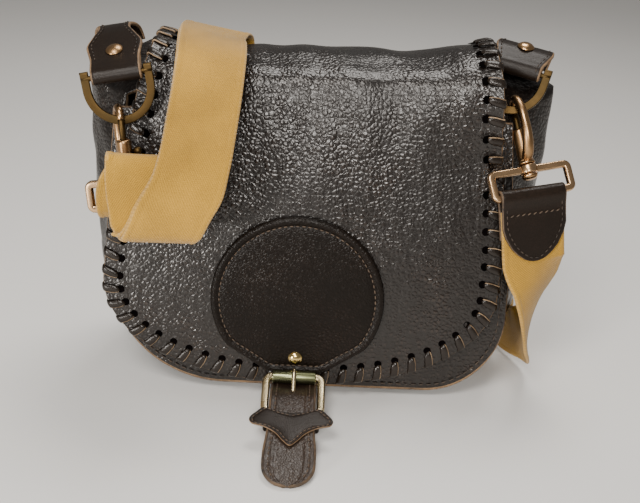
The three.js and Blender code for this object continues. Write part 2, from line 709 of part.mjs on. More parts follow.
function bolt(knobTurn) {
  const b = BOLT;
  const rows = [[0, b.bottom], [b.r, b.bottom], [b.r, b.top - 0.3], [b.r - 0.3, b.top], [0, b.top]];
  const shank = turned(rows, 12);
  const neck = new THREE.CylinderGeometry(1.15, 1.15, b.knobOut, 8).rotateZ(-Math.PI / 2);
  neck.translate(b.knobOut / 2, 0, b.knobZ);
  const knob = new THREE.SphereGeometry(b.knobR, 10, 6).translate(b.knobOut, 0, b.knobZ);
  return union(shank, union(neck, knob).rotateZ(rad(knobTurn)));
}

// Rectangular loop: round bar with an eye on its upper bar that turns on the hook's stem
function loop() {
  const l = LOOP;
  const points = roundedLoop(l.half, -l.drop, 0, l.corner, 4).map(([a, b]) => V(a, 0, b));
  const frame = rod(points, l.rod, 8, true);
  const h = l.eyeH / 2;
  const r = l.eyeR;
  const eye = turned([[0, -h], [r - 0.5, -h], [r, 0.5 - h], [r, h - 0.5], [r - 0.5, h], [0, h]], 12);
  const bore = new THREE.CylinderGeometry(l.eyeBore, l.eyeBore, 20, 12).rotateX(Math.PI / 2);
  return cut(union(frame, eye), bore);
}

// Hangers: yaw, tilt and lean of the ring in the tab's fold, and where along the ring the hook hangs
const RINGS = {
  left: { yaw: 9, tilt: -9, lean: 11, hookAt: -3.6 },
  right: { yaw: -20, tilt: 8.7, lean: 31.2, hookAt: 8.3 },
};
function hangerMatrix(side) {
  const r = RINGS[side];
  const pin = TABS[side].pin;
  return new THREE.Matrix4().makeTranslation(pin.x, pin.y, pin.z)
    .multiply(new THREE.Matrix4().makeRotationZ(rad(r.yaw)))
    .multiply(new THREE.Matrix4().makeRotationY(rad(r.tilt)));
}

// Hanging sets: yaw, tilt and lean of the hook's axis, where its spine faces, where its knob is
const CHAINS = {
  left: { yaw: 0, tilt: -6, lean: 9, spine: 114, knob: -108 },
  right: { yaw: 12.5, tilt: -7.7, lean: 38, spine: -90, knob: 112 },
};
const EYE_Z = -3.2;
const END_TAB = { lean: 28.5, skew: 1.5, slide: -1.4 };

// The hook hangs with the ring's bar in its eye
function chainMatrix(side) {
  const c = CHAINS[side];
  const turn = new THREE.Matrix4().makeRotationZ(rad(c.yaw))
    .multiply(new THREE.Matrix4().makeRotationY(rad(c.tilt)))
    .multiply(new THREE.Matrix4().makeRotationX(-rad(c.lean)));
  const at = RINGS[side].hookAt;
  const across = DRING.half - DRING.band / 2;
  const deep = DRING.drop - DRING.band / 2 - DRING.straight;
  const bar = V(at, 0, -DRING.straight - deep * Math.sqrt(1 - (at / across) ** 2))
    .applyMatrix4(new THREE.Matrix4().makeRotationX(-rad(RINGS[side].lean)))
    .applyMatrix4(hangerMatrix(side));
  const spine = rad(c.spine);
  const eye = V(HOOK.eyeU * Math.cos(spine), HOOK.eyeU * Math.sin(spine), HOOK.eyeZ).applyMatrix4(turn);
  return turn.setPosition(bar.sub(eye));
}

// The right end hangs from the loop's lower bar, nearer to upright than the hook
function endMatrix() {
  return chainMatrix('right')
    .multiply(new THREE.Matrix4().makeTranslation(END_TAB.slide, 0, EYE_Z - LOOP.drop))
    .multiply(new THREE.Matrix4().makeRotationX(rad(END_TAB.lean)))
    .multiply(new THREE.Matrix4().makeRotationY(rad(END_TAB.skew)));
}

// Leather end on the right loop's lower bar: front leaf with a rounded point, back leaf shorter
function endTab() {
  const r = LOOP.rod + GAP + 0.3 + 0.9;
  const over = [180, 135, 90, 45, 0].map((a) => [r * Math.cos(rad(a)), r * Math.sin(rad(a))]);
  const leaf = WEB_T / 2 + GAP + 0.9;
  const front = [[-leaf, -41.2], [-leaf, -21], [-leaf - 0.2, -8]];
  const back = [[leaf + 0.2, -8], [leaf, -19], [leaf, -27]];
  const body = alongX(thickShape([...front, ...over, ...back], 1.8, 30), WEB_W + 0.6);
  const w = WEB_W;
  const point = [[w / 2 + 0.2, -19], [15, -32], [7, -39.5], [0, -41.5]];
  const other = point.slice(0, -1).map(([x, z]) => [-x, z]).reverse();
  const outside = new THREE.Shape(flat([[-w, -60], [w, -60], [w, -19], ...point, ...other, [-w, -19]]));
  return cut(body, alongY(outside, 30));
}

// Shoulder strap: stations of its centre line and width direction, from the left loop's lower bar,
// up and over its own fold, round the curl, up the flap, over the top, down and across the back,
// round the lower right corner and up to the right loop
function strapStations() {
  const left = chainMatrix('left');
  const right = endMatrix();
  const bar = V(0, 0, EYE_Z - LOOP.drop).applyMatrix4(left);
  const below = (drop) => V(0, 0, -drop).applyMatrix4(right).toArray();
  const wrap = LOOP.rod + GAP + WEB_T / 2 + 0.8;
  const level = V(1, 0, 0).transformDirection(right).toArray();
  const slope = V(1, 0, 0).transformDirection(left).toArray();
  const halfSlope = [slope[0], slope[1] / 2, slope[2] / 2];
  const across = [1, 0, 0];
  const rows = [
    [bar.x, bar.y + wrap, bar.z + 6, slope],
    [bar.x, bar.y + wrap, bar.z, slope],
    [bar.x, bar.y, bar.z - wrap, slope],
    [bar.x + 0.2, bar.y - wrap, bar.z, slope],
    [bar.x + 0.8, bar.y - wrap - 1.6, bar.z + 10, halfSlope],
    [-97.6, -50.3, 149, across],
    [-96.5, -51.3, 156.6, across],
    [-95.4, -54, 160.4, across],
    [-95, -56.7, 157.5, across],
    [-96.8, -57.8, 149.5, across],
    [-98.4, -58.6, 138.5, across],
    [-98, -61, 128.5, [1, -0.02, -0.03]],
    [-94.2, -66.5, 123, [1, -0.05, -0.03]],
    [-87.1, -74, 122.2, [1, -0.04, 0.02]],
    [-79.8, -79.9, 129.8, [1, 0, 0.1]],
    [-72.6, -82.1, 142.4, [1, 0.03, 0.13]],
    [-66.4, -80, 155.5, [1, 0.05, 0.15]],
    [-62.9, -74, 168.4, [1, 0.05, 0.14]],
    [-60.7, -61.2, 184.4, [1, 0.03, 0.1]],
    [-59.2, -43.5, 202, [1, -0.03, 0.02]],
    [-59.4, -23.2, 214.6, [0.98, -0.12, -0.08]],
    [-61, -4, 219.2, [0.93, -0.22, -0.15]],
    [-63, 14, 219, [0.88, -0.32, -0.17]],
    [-63.5, 30, 217.5, [0.9, -0.3, -0.16]],
    [-62.6, 43, 215, [0.96, -0.16, -0.1]],
    [-61.6, 53, 207, across],
    [-60.5, 55.6, 193, across],
    [-57, 55.6, 174, [1, 0, 0.25]],
    [-48, 55.4, 152, [1, 0, 0.5]],
    [-30, 55, 124, [1, 0, 0.75]],
    [0, 54.5, 92, [0.8, 0, 0.9]],
    [35, 54, 64, [0.5, 0, 0.9]],
    [72, 54, 42, [0.3, 0, 0.95]],
    [100, 53.4, 30.5, [0.15, 0, 1]],
    [119, 50, 25.5, [0.05, 0.12, 1]],
    [134.5, 38.5, 22.5, [0.06, 0.3, 0.95]],
    [141.5, 19, 22.5, [-0.05, 0.55, 0.8]],
    [144.2, 3, 25.3, [-0.23, 0.86, 0.4]],
    [145, -12, 31.4, [-0.17, 0.98, 0.08]],
    [144.7, -22, 42.6, [0.07, 1, 0]],
    [144.9, -29, 56.5, [0.34, 0.94, 0.02]],
    [144, -35, 72.3, [0.59, 0.81, 0.06]],
    [142, -39, 86.5, [0.79, 0.6, 0.1]],
    [...below(42.5), level],
    [...below(26), level],
    [...below(9), level],
  ];
  const curve = new THREE.CatmullRomCurve3(rows.map(([x, y, z]) => V(x, y, z)), false, 'centripetal');
  const spans = rows.length - 1;
  return Array.from({ length: 2 * spans + 1 }, (_, i) => {
    const k = Math.min(Math.floor(i / 2), spans - 1);
    const from = V(...rows[k][3]).normalize();
    const to = V(...rows[k + 1][3]).normalize();
    return { p: curve.getPoint(i / 2 / spans), w: from.lerp(to, i / 2 - k), half: WEB_W / 2, t: WEB_T };
  });
}

// Assembly

const bag = new THREE.Group();
bag.name = 'leather_shoulder_bag';

function add(parent, name, geometry, look) {
  const mesh = new THREE.Mesh(geometry, new THREE.MeshStandardMaterial({ ...COLOURS[look] }));
  mesh.name = name;
  parent.add(mesh);
  return mesh;
}

add(bag, 'front_panel', panel(FRONT_TOP, 7, frontSurface, 1), 'leather');
add(bag, 'back_panel', panel(BACK_TOP, 7, backSurface, -1), 'leather');
add(bag, 'gusset', gusset(), 'leather');
add(bag, 'flap', flap(), 'leather');
add(bag, 'round_patch', roundPatch(), 'patch');

const stud = add(bag, 'patch_stud', dome(STUD_R, 2.6, 14), 'paleBrass');
stud.rotation.x = Math.PI / 2 - Math.atan(FRONT_LEAN);
stud.position.set(CLOSE_X, flapFront(CLOSE_X, STUD_Z) - GAP - PATCH_T - PATCH_DOME - 0.5, STUD_Z);

add(bag, 'closure_strap', closureStrap(), 'brown');
add(bag, 'buckle_frame', buckleFrame(), 'paleBrass');
add(bag, 'buckle_roller', buckleRoller(), 'brass');
add(bag, 'buckle_prong', buckleProng(), 'paleBrass');
add(bag, 'buckle_chape', buckleChape(), 'brown');
add(bag, 'keeper', keeper(), 'brown');

for (const side of ['left', 'right']) {
  const hanger = new THREE.Group();
  hanger.name = `${side}_hanger`;
  hanger.applyMatrix4(hangerMatrix(side));
  bag.add(hanger);
  add(hanger, `${side}_tab`, tab(side), 'brown');
  const place = rivetPlace(side);
  const rivet = add(hanger, `${side}_rivet`, dome(5.2, 2.4, 14), 'copper');
  rivet.rotation.x = Math.atan2(-place.n.x, place.n.y);
  const seat = place.p.clone().addScaledVector(place.n, TAB_T / 2 + 0.35);
  rivet.position.set(0, seat.x, seat.y);
  const ring = add(hanger, `${side}_dring`, dring(), 'brass');
  ring.rotation.x = -rad(RINGS[side].lean);

  const chain = new THREE.Group();
  chain.name = `${side}_chain`;
  chain.applyMatrix4(chainMatrix(side));
  bag.add(chain);
  const c = CHAINS[side];
  const hooked = add(chain, `${side}_hook`, hook(c.knob), 'copper');
  hooked.rotation.z = rad(c.spine);
  const bolted = add(chain, `${side}_bolt`, bolt(c.knob), 'brass');
  bolted.rotation.z = rad(c.spine);
  const looped = add(chain, `${side}_loop`, loop(), 'paleBrass');
  looped.position.z = EYE_Z;
  if (side === 'right') {
    const ended = new THREE.Group();
    ended.name = 'right_end';
    ended.applyMatrix4(endMatrix());
    bag.add(ended);
    add(ended, 'right_end_tab', endTab(), 'brown');
  }
}

add(bag, 'shoulder_strap', strip(strapStations()), 'webbing');

export default bag;
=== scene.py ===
"""Leather shoulder bag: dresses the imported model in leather, lacing, webbing and brass."""
import math

import bpy
import numpy as np
from bpy.props import FloatProperty, FloatVectorProperty, PointerProperty
from mathutils import Matrix, Vector


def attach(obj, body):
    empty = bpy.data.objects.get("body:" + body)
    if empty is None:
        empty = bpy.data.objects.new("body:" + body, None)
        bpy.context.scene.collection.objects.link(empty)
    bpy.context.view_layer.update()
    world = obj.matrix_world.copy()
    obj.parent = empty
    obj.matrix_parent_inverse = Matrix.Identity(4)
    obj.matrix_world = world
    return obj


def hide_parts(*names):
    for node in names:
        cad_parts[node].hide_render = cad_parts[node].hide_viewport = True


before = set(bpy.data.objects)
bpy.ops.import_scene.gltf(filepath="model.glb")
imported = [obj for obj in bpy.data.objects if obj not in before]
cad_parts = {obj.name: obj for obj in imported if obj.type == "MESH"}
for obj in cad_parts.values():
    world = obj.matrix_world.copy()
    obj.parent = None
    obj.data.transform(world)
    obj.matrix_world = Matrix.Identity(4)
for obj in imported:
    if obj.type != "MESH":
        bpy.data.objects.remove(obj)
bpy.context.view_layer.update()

bl_info = {
    "name": "Leather shoulder bag",
    "version": (1, 0, 0),
    "blender": (4, 5, 0),
    "location": "View3D > Sidebar > Bag",
    "description": "Builds the leather, lacing, webbing and brass of a shoulder bag on its packed frame",
    "category": "Object",
}

MM = 0.001
TURN, QUARTER = 2 * math.pi, math.pi / 2
SIDES = ("left", "right")
X_WAY, Y_WAY = np.eye(3)[:2]
BLACK = (0, 0, 0)

# Sizes shared with the solids, in millimetres and degrees
LEAN = 10.5
FRONT_LEAN, BACK_LEAN = math.tan(math.radians(LEAN)), 0.01
BASE_HALF = 46
PANEL_HALF, PANEL_HALF_TOP = 127, 116.5
PANEL_LOW, PANEL_STRAIGHT, PANEL_HIGH = 6, 46, 200
FRONT_TOP, BACK_TOP = 178, 203
CORNER = {"left": 75, "right": 50}
GUSSET_LOW, GUSSET_HIGH, GUSSET_FRONT, GUSSET_IN, SEAM_DEEP = 9.5, 198, 184, 3.5, 2.8
TURNED_IN = 104
GUSSET_FOLD = ((198, 35), (165, 30), (130, 25.5), (80, 18.5), (42, 13))
FLAP_T, FLAP_OFF, FLAP_FRONT, FLAP_SIDE, FLAP_LOW = 2.5, 7.5, 192, 76, 63.5
FLAP_ROUND = 2.12
FLAP_TOP = ((51.8, 178), (52, 194), (50.3, 205), (45, 212), (36, 216), (25, 217.5), (13, 217), (2, 214),
            (-7.5, 208.5), (-13.8, 201), (-17.6, 192))
FLAP_HALF = ((217, 101.5), (201, 105.5), (186, 108), (168, 110.5), (144, 115.5), (98, 122), (76, 122.8))
CLOSE_X = -5.5
PATCH_Z, STUD_UP = 69, -37.5 / 0.983
ROLLER = np.array((CLOSE_X, -61, 22.5))
HEEL = np.array((CLOSE_X, -84, 11.5))
DRING_HALF, DRING_DEEP, DRING_BAR, DRING_LEG = 20.6, 28.5, 2.4, 7
BARREL = 4.3


# Numbers

def ramp(a, b, t):
    """Smooth step of t from 0 at a to 1 at b: three k squared less two k cubed."""
    k = np.clip((np.asarray(t, float) - a) / (b - a), 0, 1)
    return k * k * (3 - 2 * k)


def table(rows, t):
    """Straight interpolation at t in rows of place and value."""
    rows = np.array(sorted(rows), float)
    return np.interp(t, rows[:, 0], rows[:, 1])


def unit(v):
    """Each vector divided by its length."""
    return v / np.maximum(np.linalg.norm(v, axis=-1, keepdims=True), 1e-9)


def spline(points, per_span, power=0.5):
    """Catmull-Rom curve through points, per_span samples a span, knots at chord to the given power."""
    p = np.asarray(points, float)
    p = np.concatenate([2 * p[:1] - p[1:2], p, 2 * p[-1:] - p[-2:-1]])
    knot = np.maximum(np.linalg.norm(np.diff(p, axis=0), axis=-1, keepdims=True), 1e-6) ** power
    p0, p1, p2, p3 = p[:-3], p[1:-2], p[2:-1], p[3:]
    a, b, c = knot[:-2], knot[1:-1], knot[2:]
    out = ((p1 - p0) / a - (p2 - p0) / (a + b) + (p2 - p1) / b) * b
    into = ((p2 - p1) / b - (p3 - p1) / (b + c) + (p3 - p2) / c) * b
    t = (np.arange(per_span) / per_span).reshape((1, per_span) + (1,) * (p.ndim - 1))
    p1, p2, out, into = (v[:, None] for v in (p1, p2, out, into))
    curve = p1 + out * t + (3 * (p2 - p1) - 2 * out - into) * t ** 2 + (2 * (p1 - p2) + out + into) * t ** 3
    return np.concatenate([curve.reshape((-1,) + p.shape[1:]), p[-2:-1]])


def lengths(points):
    """Length along a polyline at each of its points."""
    return np.concatenate([[0], np.cumsum(np.linalg.norm(np.diff(points, axis=0), axis=-1))])


def along(points, at, *others):
    """Points of a polyline at lengths at, and the same places in lists that go with it."""
    s = lengths(points)
    found = [np.stack([np.interp(at, s, q[:, k]) for k in range(q.shape[1])], axis=1)
             for q in (points, *others)]
    return found if others else found[0]


def evenly(points, count):
    """A polyline as count points in even steps."""
    return along(points, np.linspace(0, lengths(points)[-1], count))


def waves(p, size, seed, count=9):
    """Sum of sine waves about size long in fixed scattered directions, about -1 to 1."""
    rng = np.random.default_rng(seed)
    ways = unit(rng.normal(size=(count, p.shape[-1])))
    ways = ways * (TURN / size * rng.uniform(0.55, 1.6, count))[:, None]
    return np.sin(p @ ways.T + rng.uniform(0, TURN, count)).sum(-1) / (0.75 * count ** 0.5 * 1.6)


def normals(grid):
    """Unit normals of a grid from the cross product of its row and column differences."""
    return unit(np.cross(np.gradient(grid, axis=1), np.gradient(grid, axis=0)))


def tangents(points):
    """Unit direction of a polyline at each of its points."""
    return unit(np.gradient(points, axis=0))


def from_edge(count):
    """Steps of each column of a grid from its nearer side."""
    return np.minimum(np.arange(count), np.arange(count)[::-1])


def moved(matrix, points):
    """Points carried by a 4 by 4 matrix."""
    m = np.array(matrix)
    return points @ m[:3, :3].T + m[:3, 3]


def turned(matrix, ways):
    """Directions turned by a 4 by 4 matrix."""
    return ways @ np.array(matrix)[:3, :3].T


def matrix(at, *turns):
    """Move to a place, then turn by degrees about named axes in order."""
    made = Matrix.Translation(at)
    for axis, angle in turns:
        made = made @ Matrix.Rotation(math.radians(angle), 4, axis)
    return made


def at_x(rows, x=0.0):
    """Points at one x from rows of y and z."""
    return np.stack([np.full(len(rows), x), rows[:, 0], rows[:, 1]], -1)


def at_y0(rows):
    """Points at y 0 from rows of x and z."""
    return np.stack([rows[:, 0], np.zeros(len(rows)), rows[:, 1]], -1)


def circle(sides):
    """Round ring of radius one."""
    f = np.arange(sides) / sides * TURN
    return np.stack([np.cos(f), np.sin(f)], -1)


def rounded(half, low, high, corner, count):
    """Rounded rectangle as points: four quarter circles, one after the other."""
    f = np.linspace(0, QUARTER, count)
    x, low, high = half - corner, low + corner, high - corner
    turns = [f + k * QUARTER for k in range(4)]
    return np.concatenate([np.stack([a + corner * np.cos(g), b + corner * np.sin(g)], -1)
                           for g, (a, b) in zip(turns, ((x, high), (-x, high), (-x, low), (x, low)))])


def inset(outline, by):
    """Closed line inside an outline about its middle, nearer to the middle by a length."""
    far = np.linalg.norm(outline, axis=-1, keepdims=True)
    line = outline * (far - by) / far
    return np.concatenate([line, line[:1]])


# Meshes

def quads_of(rows, cols, close_rows=False, close_cols=False):
    """Corner numbers of the four-sided faces of a grid, joined round where it is closed."""
    i = np.arange(rows if close_rows else rows - 1)[:, None]
    j = np.arange(cols if close_cols else cols - 1)[None, :]
    k, m = (i + 1) % rows, (j + 1) % cols
    return np.stack([i * cols + j, i * cols + m, k * cols + m, k * cols + j], axis=-1).reshape(-1, 4)


def volume(verts, faces):
    """Six times the volume inside four-cornered faces: the triple products of their corners."""
    a, b, c, d = (verts[faces[:, k]] for k in range(4))
    return (a * (np.cross(b, c) + np.cross(c, d))).sum()


def piece(name, verts, faces, finishes, finish_of=None, uv=None, body="bag", replaces=(),
          slot="brown_leather"):
    """Puts points in millimetres and four-cornered faces into a smooth mesh of positive volume; points
    that fall together are joined, and a face that loses a corner by it becomes a triangle."""
    verts = verts.reshape(-1, 3)
    if volume(verts, faces) < 0:
        faces = faces[:, ::-1]
    _, first, joined = np.unique(np.round(verts, 4), axis=0, return_index=True, return_inverse=True)
    corners = joined.ravel()[faces]
    keep = corners != np.roll(corners, 1, axis=1)
    whole = keep.sum(1) > 2
    corners, keep, faces = corners[whole], keep[whole], faces[whole]
    mesh = bpy.data.meshes.new(name)
    mesh.vertices.add(len(first))
    mesh.vertices.foreach_set("co", (verts[first] * MM).astype(np.float32).ravel())
    mesh.loops.add(int(keep.sum()))
    mesh.loops.foreach_set("vertex_index", corners[keep].astype(np.int32))
    mesh.polygons.add(len(corners))
    mesh.polygons.foreach_set("loop_start", (np.cumsum(keep.sum(1)) - keep.sum(1)).astype(np.int32))
    mesh.update(calc_edges=True)
    if uv is not None:
        layer = mesh.uv_layers.new(name="cloth")
        layer.data.foreach_set("uv", np.asarray(uv, np.float32).reshape(-1, 2)[faces[keep]].ravel())
    for kind in finishes:
        mesh.materials.append(finish(kind))
    if finish_of is not None:
        mesh.polygons.foreach_set("material_index", finish_of[whole].astype(np.int32))
    mesh.polygons.foreach_set("use_smooth", np.ones(len(mesh.polygons), dtype=bool))
    mesh.update()
    made = bpy.data.objects.new(name, mesh)
    bpy.context.scene.collection.objects.link(made)
    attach(made, body)
    if replaces:
        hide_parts(*replaces)
    return made


def shell(name, grid, thick, finishes, inside=None, lip=0, **extra):
    """Sheet of leather: a grid, the same grid moved in along its normals, and a rounded edge between; the
    last lip rows of faces have the edge's finish."""
    rows, cols = grid.shape[:2]
    back = (grid + (normals(grid) if inside is None else inside) * thick).reshape(-1, 3)
    rim = np.concatenate([np.arange(cols - 1), np.arange(rows - 1) * cols + cols - 1,
                          (rows - 1) * cols + np.arange(cols - 1, 0, -1), np.arange(rows - 1, 0, -1) * cols])
    front = grid.reshape(-1, 3)
    edge, far = front[rim], back[rim]
    out = unit(np.cross(unit(np.roll(edge, -1, 0) - np.roll(edge, 1, 0)), far - edge))
    middle = (edge + far) / 2
    sign = np.sign(((middle - front.mean(0)) * out).sum(-1).mean())
    middle = middle + sign * out * thick * 0.28
    face = quads_of(rows, cols)
    m, base = len(rim), rows * cols
    here = np.arange(m)
    nxt = np.roll(here, -1)
    top = np.stack([rim, 2 * base + here, 2 * base + nxt, rim[nxt]], 1)
    low = np.stack([2 * base + here, rim + base, rim[nxt] + base, 2 * base + nxt], 1)
    kind = np.repeat([0, 2, 1, 1], [len(face), len(face), m, m])
    kind[len(face) - lip * (cols - 1):len(face)] = 1
    return piece(name, np.concatenate([front, back, middle]),
                 np.concatenate([face, face[:, ::-1] + base, top, low]), finishes, finish_of=kind, **extra)


def swept(points, width, rings, shear=0.0):
    """Rings of (across, out) carried along points; across follows width and out stands on both it and the
    path. Across is square to the path, or keeps a share of its slant and grows to hold the true width."""
    t = tangents(points)
    w = unit(width - (1 - shear) * (width * t).sum(-1, keepdims=True) * t)
    grow = 1 / np.sqrt(1 - (w * t).sum(-1, keepdims=True) ** 2)
    n = unit(np.cross(w, t))
    return points[:, None] + (w * grow)[:, None] * rings[..., :1] + n[:, None] * rings[..., 1:]


def capped(grid):
    """A grid closed round its columns, with each end drawn in to its middle point."""
    ends = [np.repeat(end.mean(1, keepdims=True), grid.shape[1], axis=1) for end in (grid[:1], grid[-1:])]
    return np.concatenate([ends[0], grid, ends[1]])


def band_ring(half, thick, across=14, bend=4, relief=None):
    """Ring of a flat band: its face, a round edge, its back and a round edge; relief lifts both faces."""
    half = np.atleast_1d(np.asarray(half, float))[:, None]
    r = np.minimum(thick / 2, half * 0.9)
    u = np.linspace(-1, 1, across)[None]
    lift = np.zeros_like(u) if relief is None else relief(u)
    f = np.linspace(QUARTER, -QUARTER, bend + 2)[None, 1:-1]
    face = np.stack(np.broadcast_arrays(u * (half - r), r + lift), -1)
    right = np.stack(np.broadcast_arrays(half - r + r * np.cos(f), r * np.sin(f)), -1)
    return np.concatenate([face, right, -face, right[:, ::-1] * (-1, 1)], axis=1)


def band(name, points, width, half, thick, finishes, across=14, bend=4, relief=None, shear=0.0, **extra):
    """Strap: a band ring carried along points, its round edges in the second finish; UV in metres."""
    rings = band_ring(half, thick, across, bend, relief)
    rings = np.broadcast_to(rings, (len(points),) + rings.shape[1:])
    closed = capped(swept(points, width, rings, shear))
    rows, cols = closed.shape[:2]
    s = np.pad(lengths(points), 1, mode="edge")
    u = np.pad(rings[..., 0], ((1, 1), (0, 0)))
    kind = np.zeros(cols, int)
    kind[across - 1:across + bend] = 1
    kind[2 * across + bend - 1:] = 1
    uv = np.stack([u, np.repeat(s[:, None], cols, 1)], -1) * MM
    return piece(name, closed, quads_of(rows, cols, close_cols=True), finishes,
                 finish_of=np.tile(kind, rows - 1), uv=uv, **extra)


def bar(points, flat, radius, sides=16, joined=False, ring=None):
    """Grid of a bar: a circle or another ring of the given radius carried along points across flat."""
    rings = (circle(sides) if ring is None else ring) * np.reshape(radius, (-1, 1, 1))
    if not joined:
        return capped(swept(points, flat, rings))
    return swept(np.concatenate([points[-2:], points, points[:2]]), flat, rings)[2:-2]


def lathe(rows, sides=32):
    """Grid of a turned piece: rows of radius and height carried once round the Z axis."""
    rows = np.asarray(rows, float)
    round_z = rows[:, None, :1] * circle(sides)
    return np.concatenate([round_z, np.repeat(rows[:, None, 1:], sides, 1)], -1)


def solid(name, kind, *grids, **extra):
    """One piece from grids closed both ways; between ends that are drawn in, the joining faces have no
    area and fall out."""
    verts, faces, base = [], [], 0
    for grid in grids:
        quads = quads_of(*grid.shape[:2], close_rows=True, close_cols=True)
        flat = grid.reshape(-1, 3)
        faces.append((quads if volume(flat - flat.mean(0), quads) > 0 else quads[:, ::-1]) + base)
        verts.append(flat)
        base += len(flat)
    return piece(name, np.concatenate(verts), np.concatenate(faces), [kind], **extra)


def many(name, grids, finishes, kind=None, **extra):
    """One piece from an array of like grids, each closed round its columns; kind is each column's finish."""
    count, rows, cols = grids.shape[:3]
    quads = quads_of(rows, cols, close_cols=True)
    faces = (quads[None] + (np.arange(count) * rows * cols)[:, None, None]).reshape(-1, 4)
    kind = np.tile(np.zeros(cols, int) if kind is None else np.array(kind), count * (rows - 1))
    return piece(name, grids, faces, finishes, finish_of=kind, **extra)


def stitches(name, path, out, pitch, kind, share=0.7, wide=0.9, slant=0.0, **extra):
    """Row of thread stitches: flat ellipsoids at even steps along path, each as long as a share of the
    step, standing on the side out."""
    total = lengths(path)[-1]
    at = np.arange(pitch * 0.5, total, pitch)
    where, up = along(path, at, np.broadcast_to(out, path.shape))
    ahead, behind = (along(path, np.clip(at + step, 0, total)) for step in (0.4, -0.4))
    t, up = unit(ahead - behind), unit(up)
    side = unit(np.cross(up, t))
    cos, sin = math.cos(slant), math.sin(slant)
    t, side = unit(t * cos + side * sin), unit(side * cos - t * sin)
    f = np.linspace(0, math.pi, 6)[:, None]
    c = circle(6)
    shape = np.stack([np.cos(f) * np.ones(6) * pitch * share / 2, np.sin(f) * c[:, 0] * wide / 2,
                      np.sin(f) * c[:, 1] * wide * 0.4], -1)
    grids = (where + up * 0.25)[:, None, None] + np.einsum("ijk,nkm->nijm", shape, np.stack([t, side, up], 1))
    return many(name, grids, [kind], **extra)


def medallion(name, outline, rows, place, finishes, cut=(), **extra):
    """Flat piece with a moulded edge: rings of an outline about its middle, each with an inset from the
    edge, a share of what is left and a height, set on a surface by place; the rings in cut have the
    second finish."""
    far = np.linalg.norm(outline, axis=-1)
    way = outline / far[:, None]
    deep, share, high = np.array(rows, float).T[..., None]
    r = np.maximum(far - deep, 0) * share
    grid = place(way[:, 0] * r, way[:, 1] * r, np.repeat(high, len(far), 1))
    kind = np.isin(np.arange(len(rows) - 1), cut).astype(int)
    return piece(name, grid, quads_of(len(rows), len(far), close_cols=True), finishes,
                 finish_of=np.repeat(kind, len(far)), **extra)


# Finishes

class Finish:
    """Material being made, with the place in a piece's own coordinates and short ways to add nodes."""

    def __init__(self, name):
        self.made = bpy.data.materials.new(name)
        self.made.use_nodes = True
        self.tree = self.made.node_tree
        self.at = self.node("TexCoord").outputs["Object"]

    def put(self, made, inputs):
        """Gives a node its inputs, each a value or a socket to join."""
        for key, value in inputs.items():
            if isinstance(value, bpy.types.NodeSocket):
                self.tree.links.new(value, made.inputs[key])
            else:
                made.inputs[key].default_value = value
        return made

    def node(self, kind, inputs=None, **props):
        """New node with its settings and its inputs."""
        made = self.tree.nodes.new("ShaderNode" + kind)
        for key, value in props.items():
            setattr(made, key, value)
        return self.put(made, inputs or {})

    def noise(self, scale, detail, at=None, out="Fac", **more):
        """Cloudy noise."""
        inputs = {"Vector": at or self.at, "Scale": scale, "Detail": detail, **more}
        return self.node("TexNoise", inputs).outputs[out]

    def cells(self, at, scale, feature, **more):
        """Distance in a pattern of cells."""
        inputs = {"Vector": at, "Scale": scale, **more}
        return self.node("TexVoronoi", inputs, feature=feature).outputs["Distance"]

    def span(self, value, low, high, start=0.0, end=1.0):
        """Value from low to high carried to start to end."""
        return self.node("MapRange", {"Value": value, "From Min": low, "From Max": high,
                                      "To Min": start, "To Max": end}).outputs["Result"]

    def sum(self, kind, a, b):
        """Two numbers joined by the named kind of sum."""
        return self.node("Math", {0: a, 1: b}, operation=kind).outputs[0]

    def add(self, a, b):
        """One number and another."""
        return self.sum("ADD", a, b)

    def times(self, a, b):
        """One number by another."""
        return self.sum("MULTIPLY", a, b)

    def vector(self, kind, a, b, place=1):
        """Two vectors joined by the named kind of sum."""
        return self.node("VectorMath", {0: a, place: b}, operation=kind).outputs[0]

    def bump(self, strength, distance, height):
        """Normal of a relief."""
        inputs = {"Strength": strength, "Distance": distance, "Height": height}
        return self.node("Bump", inputs).outputs["Normal"]

    def shades(self, fac, *stops):
        """Colour ramp from places and colours."""
        made = self.node("ValToRGB", {"Fac": fac})
        elements = made.color_ramp.elements
        while len(elements) < len(stops):
            elements.new(0.5)
        for element, (place, colour) in zip(elements, stops):
            element.position = place
            element.color = (*colour[:3], 1)
        return made.outputs["Color"]

    def done(self, colour, rough, **others):
        """The material, with what its shader takes in; an underscore in a name stands for a space."""
        inputs = {key.replace("_", " "): value for key, value in others.items()}
        self.put(self.tree.nodes["Principled BSDF"], {"Base Color": colour, "Roughness": rough, **inputs})
        return self.made


def mixed(colour, other, k):
    """Colour part of the way to another."""
    return tuple((1 - k) * a + k * b for a, b in zip(colour, other))


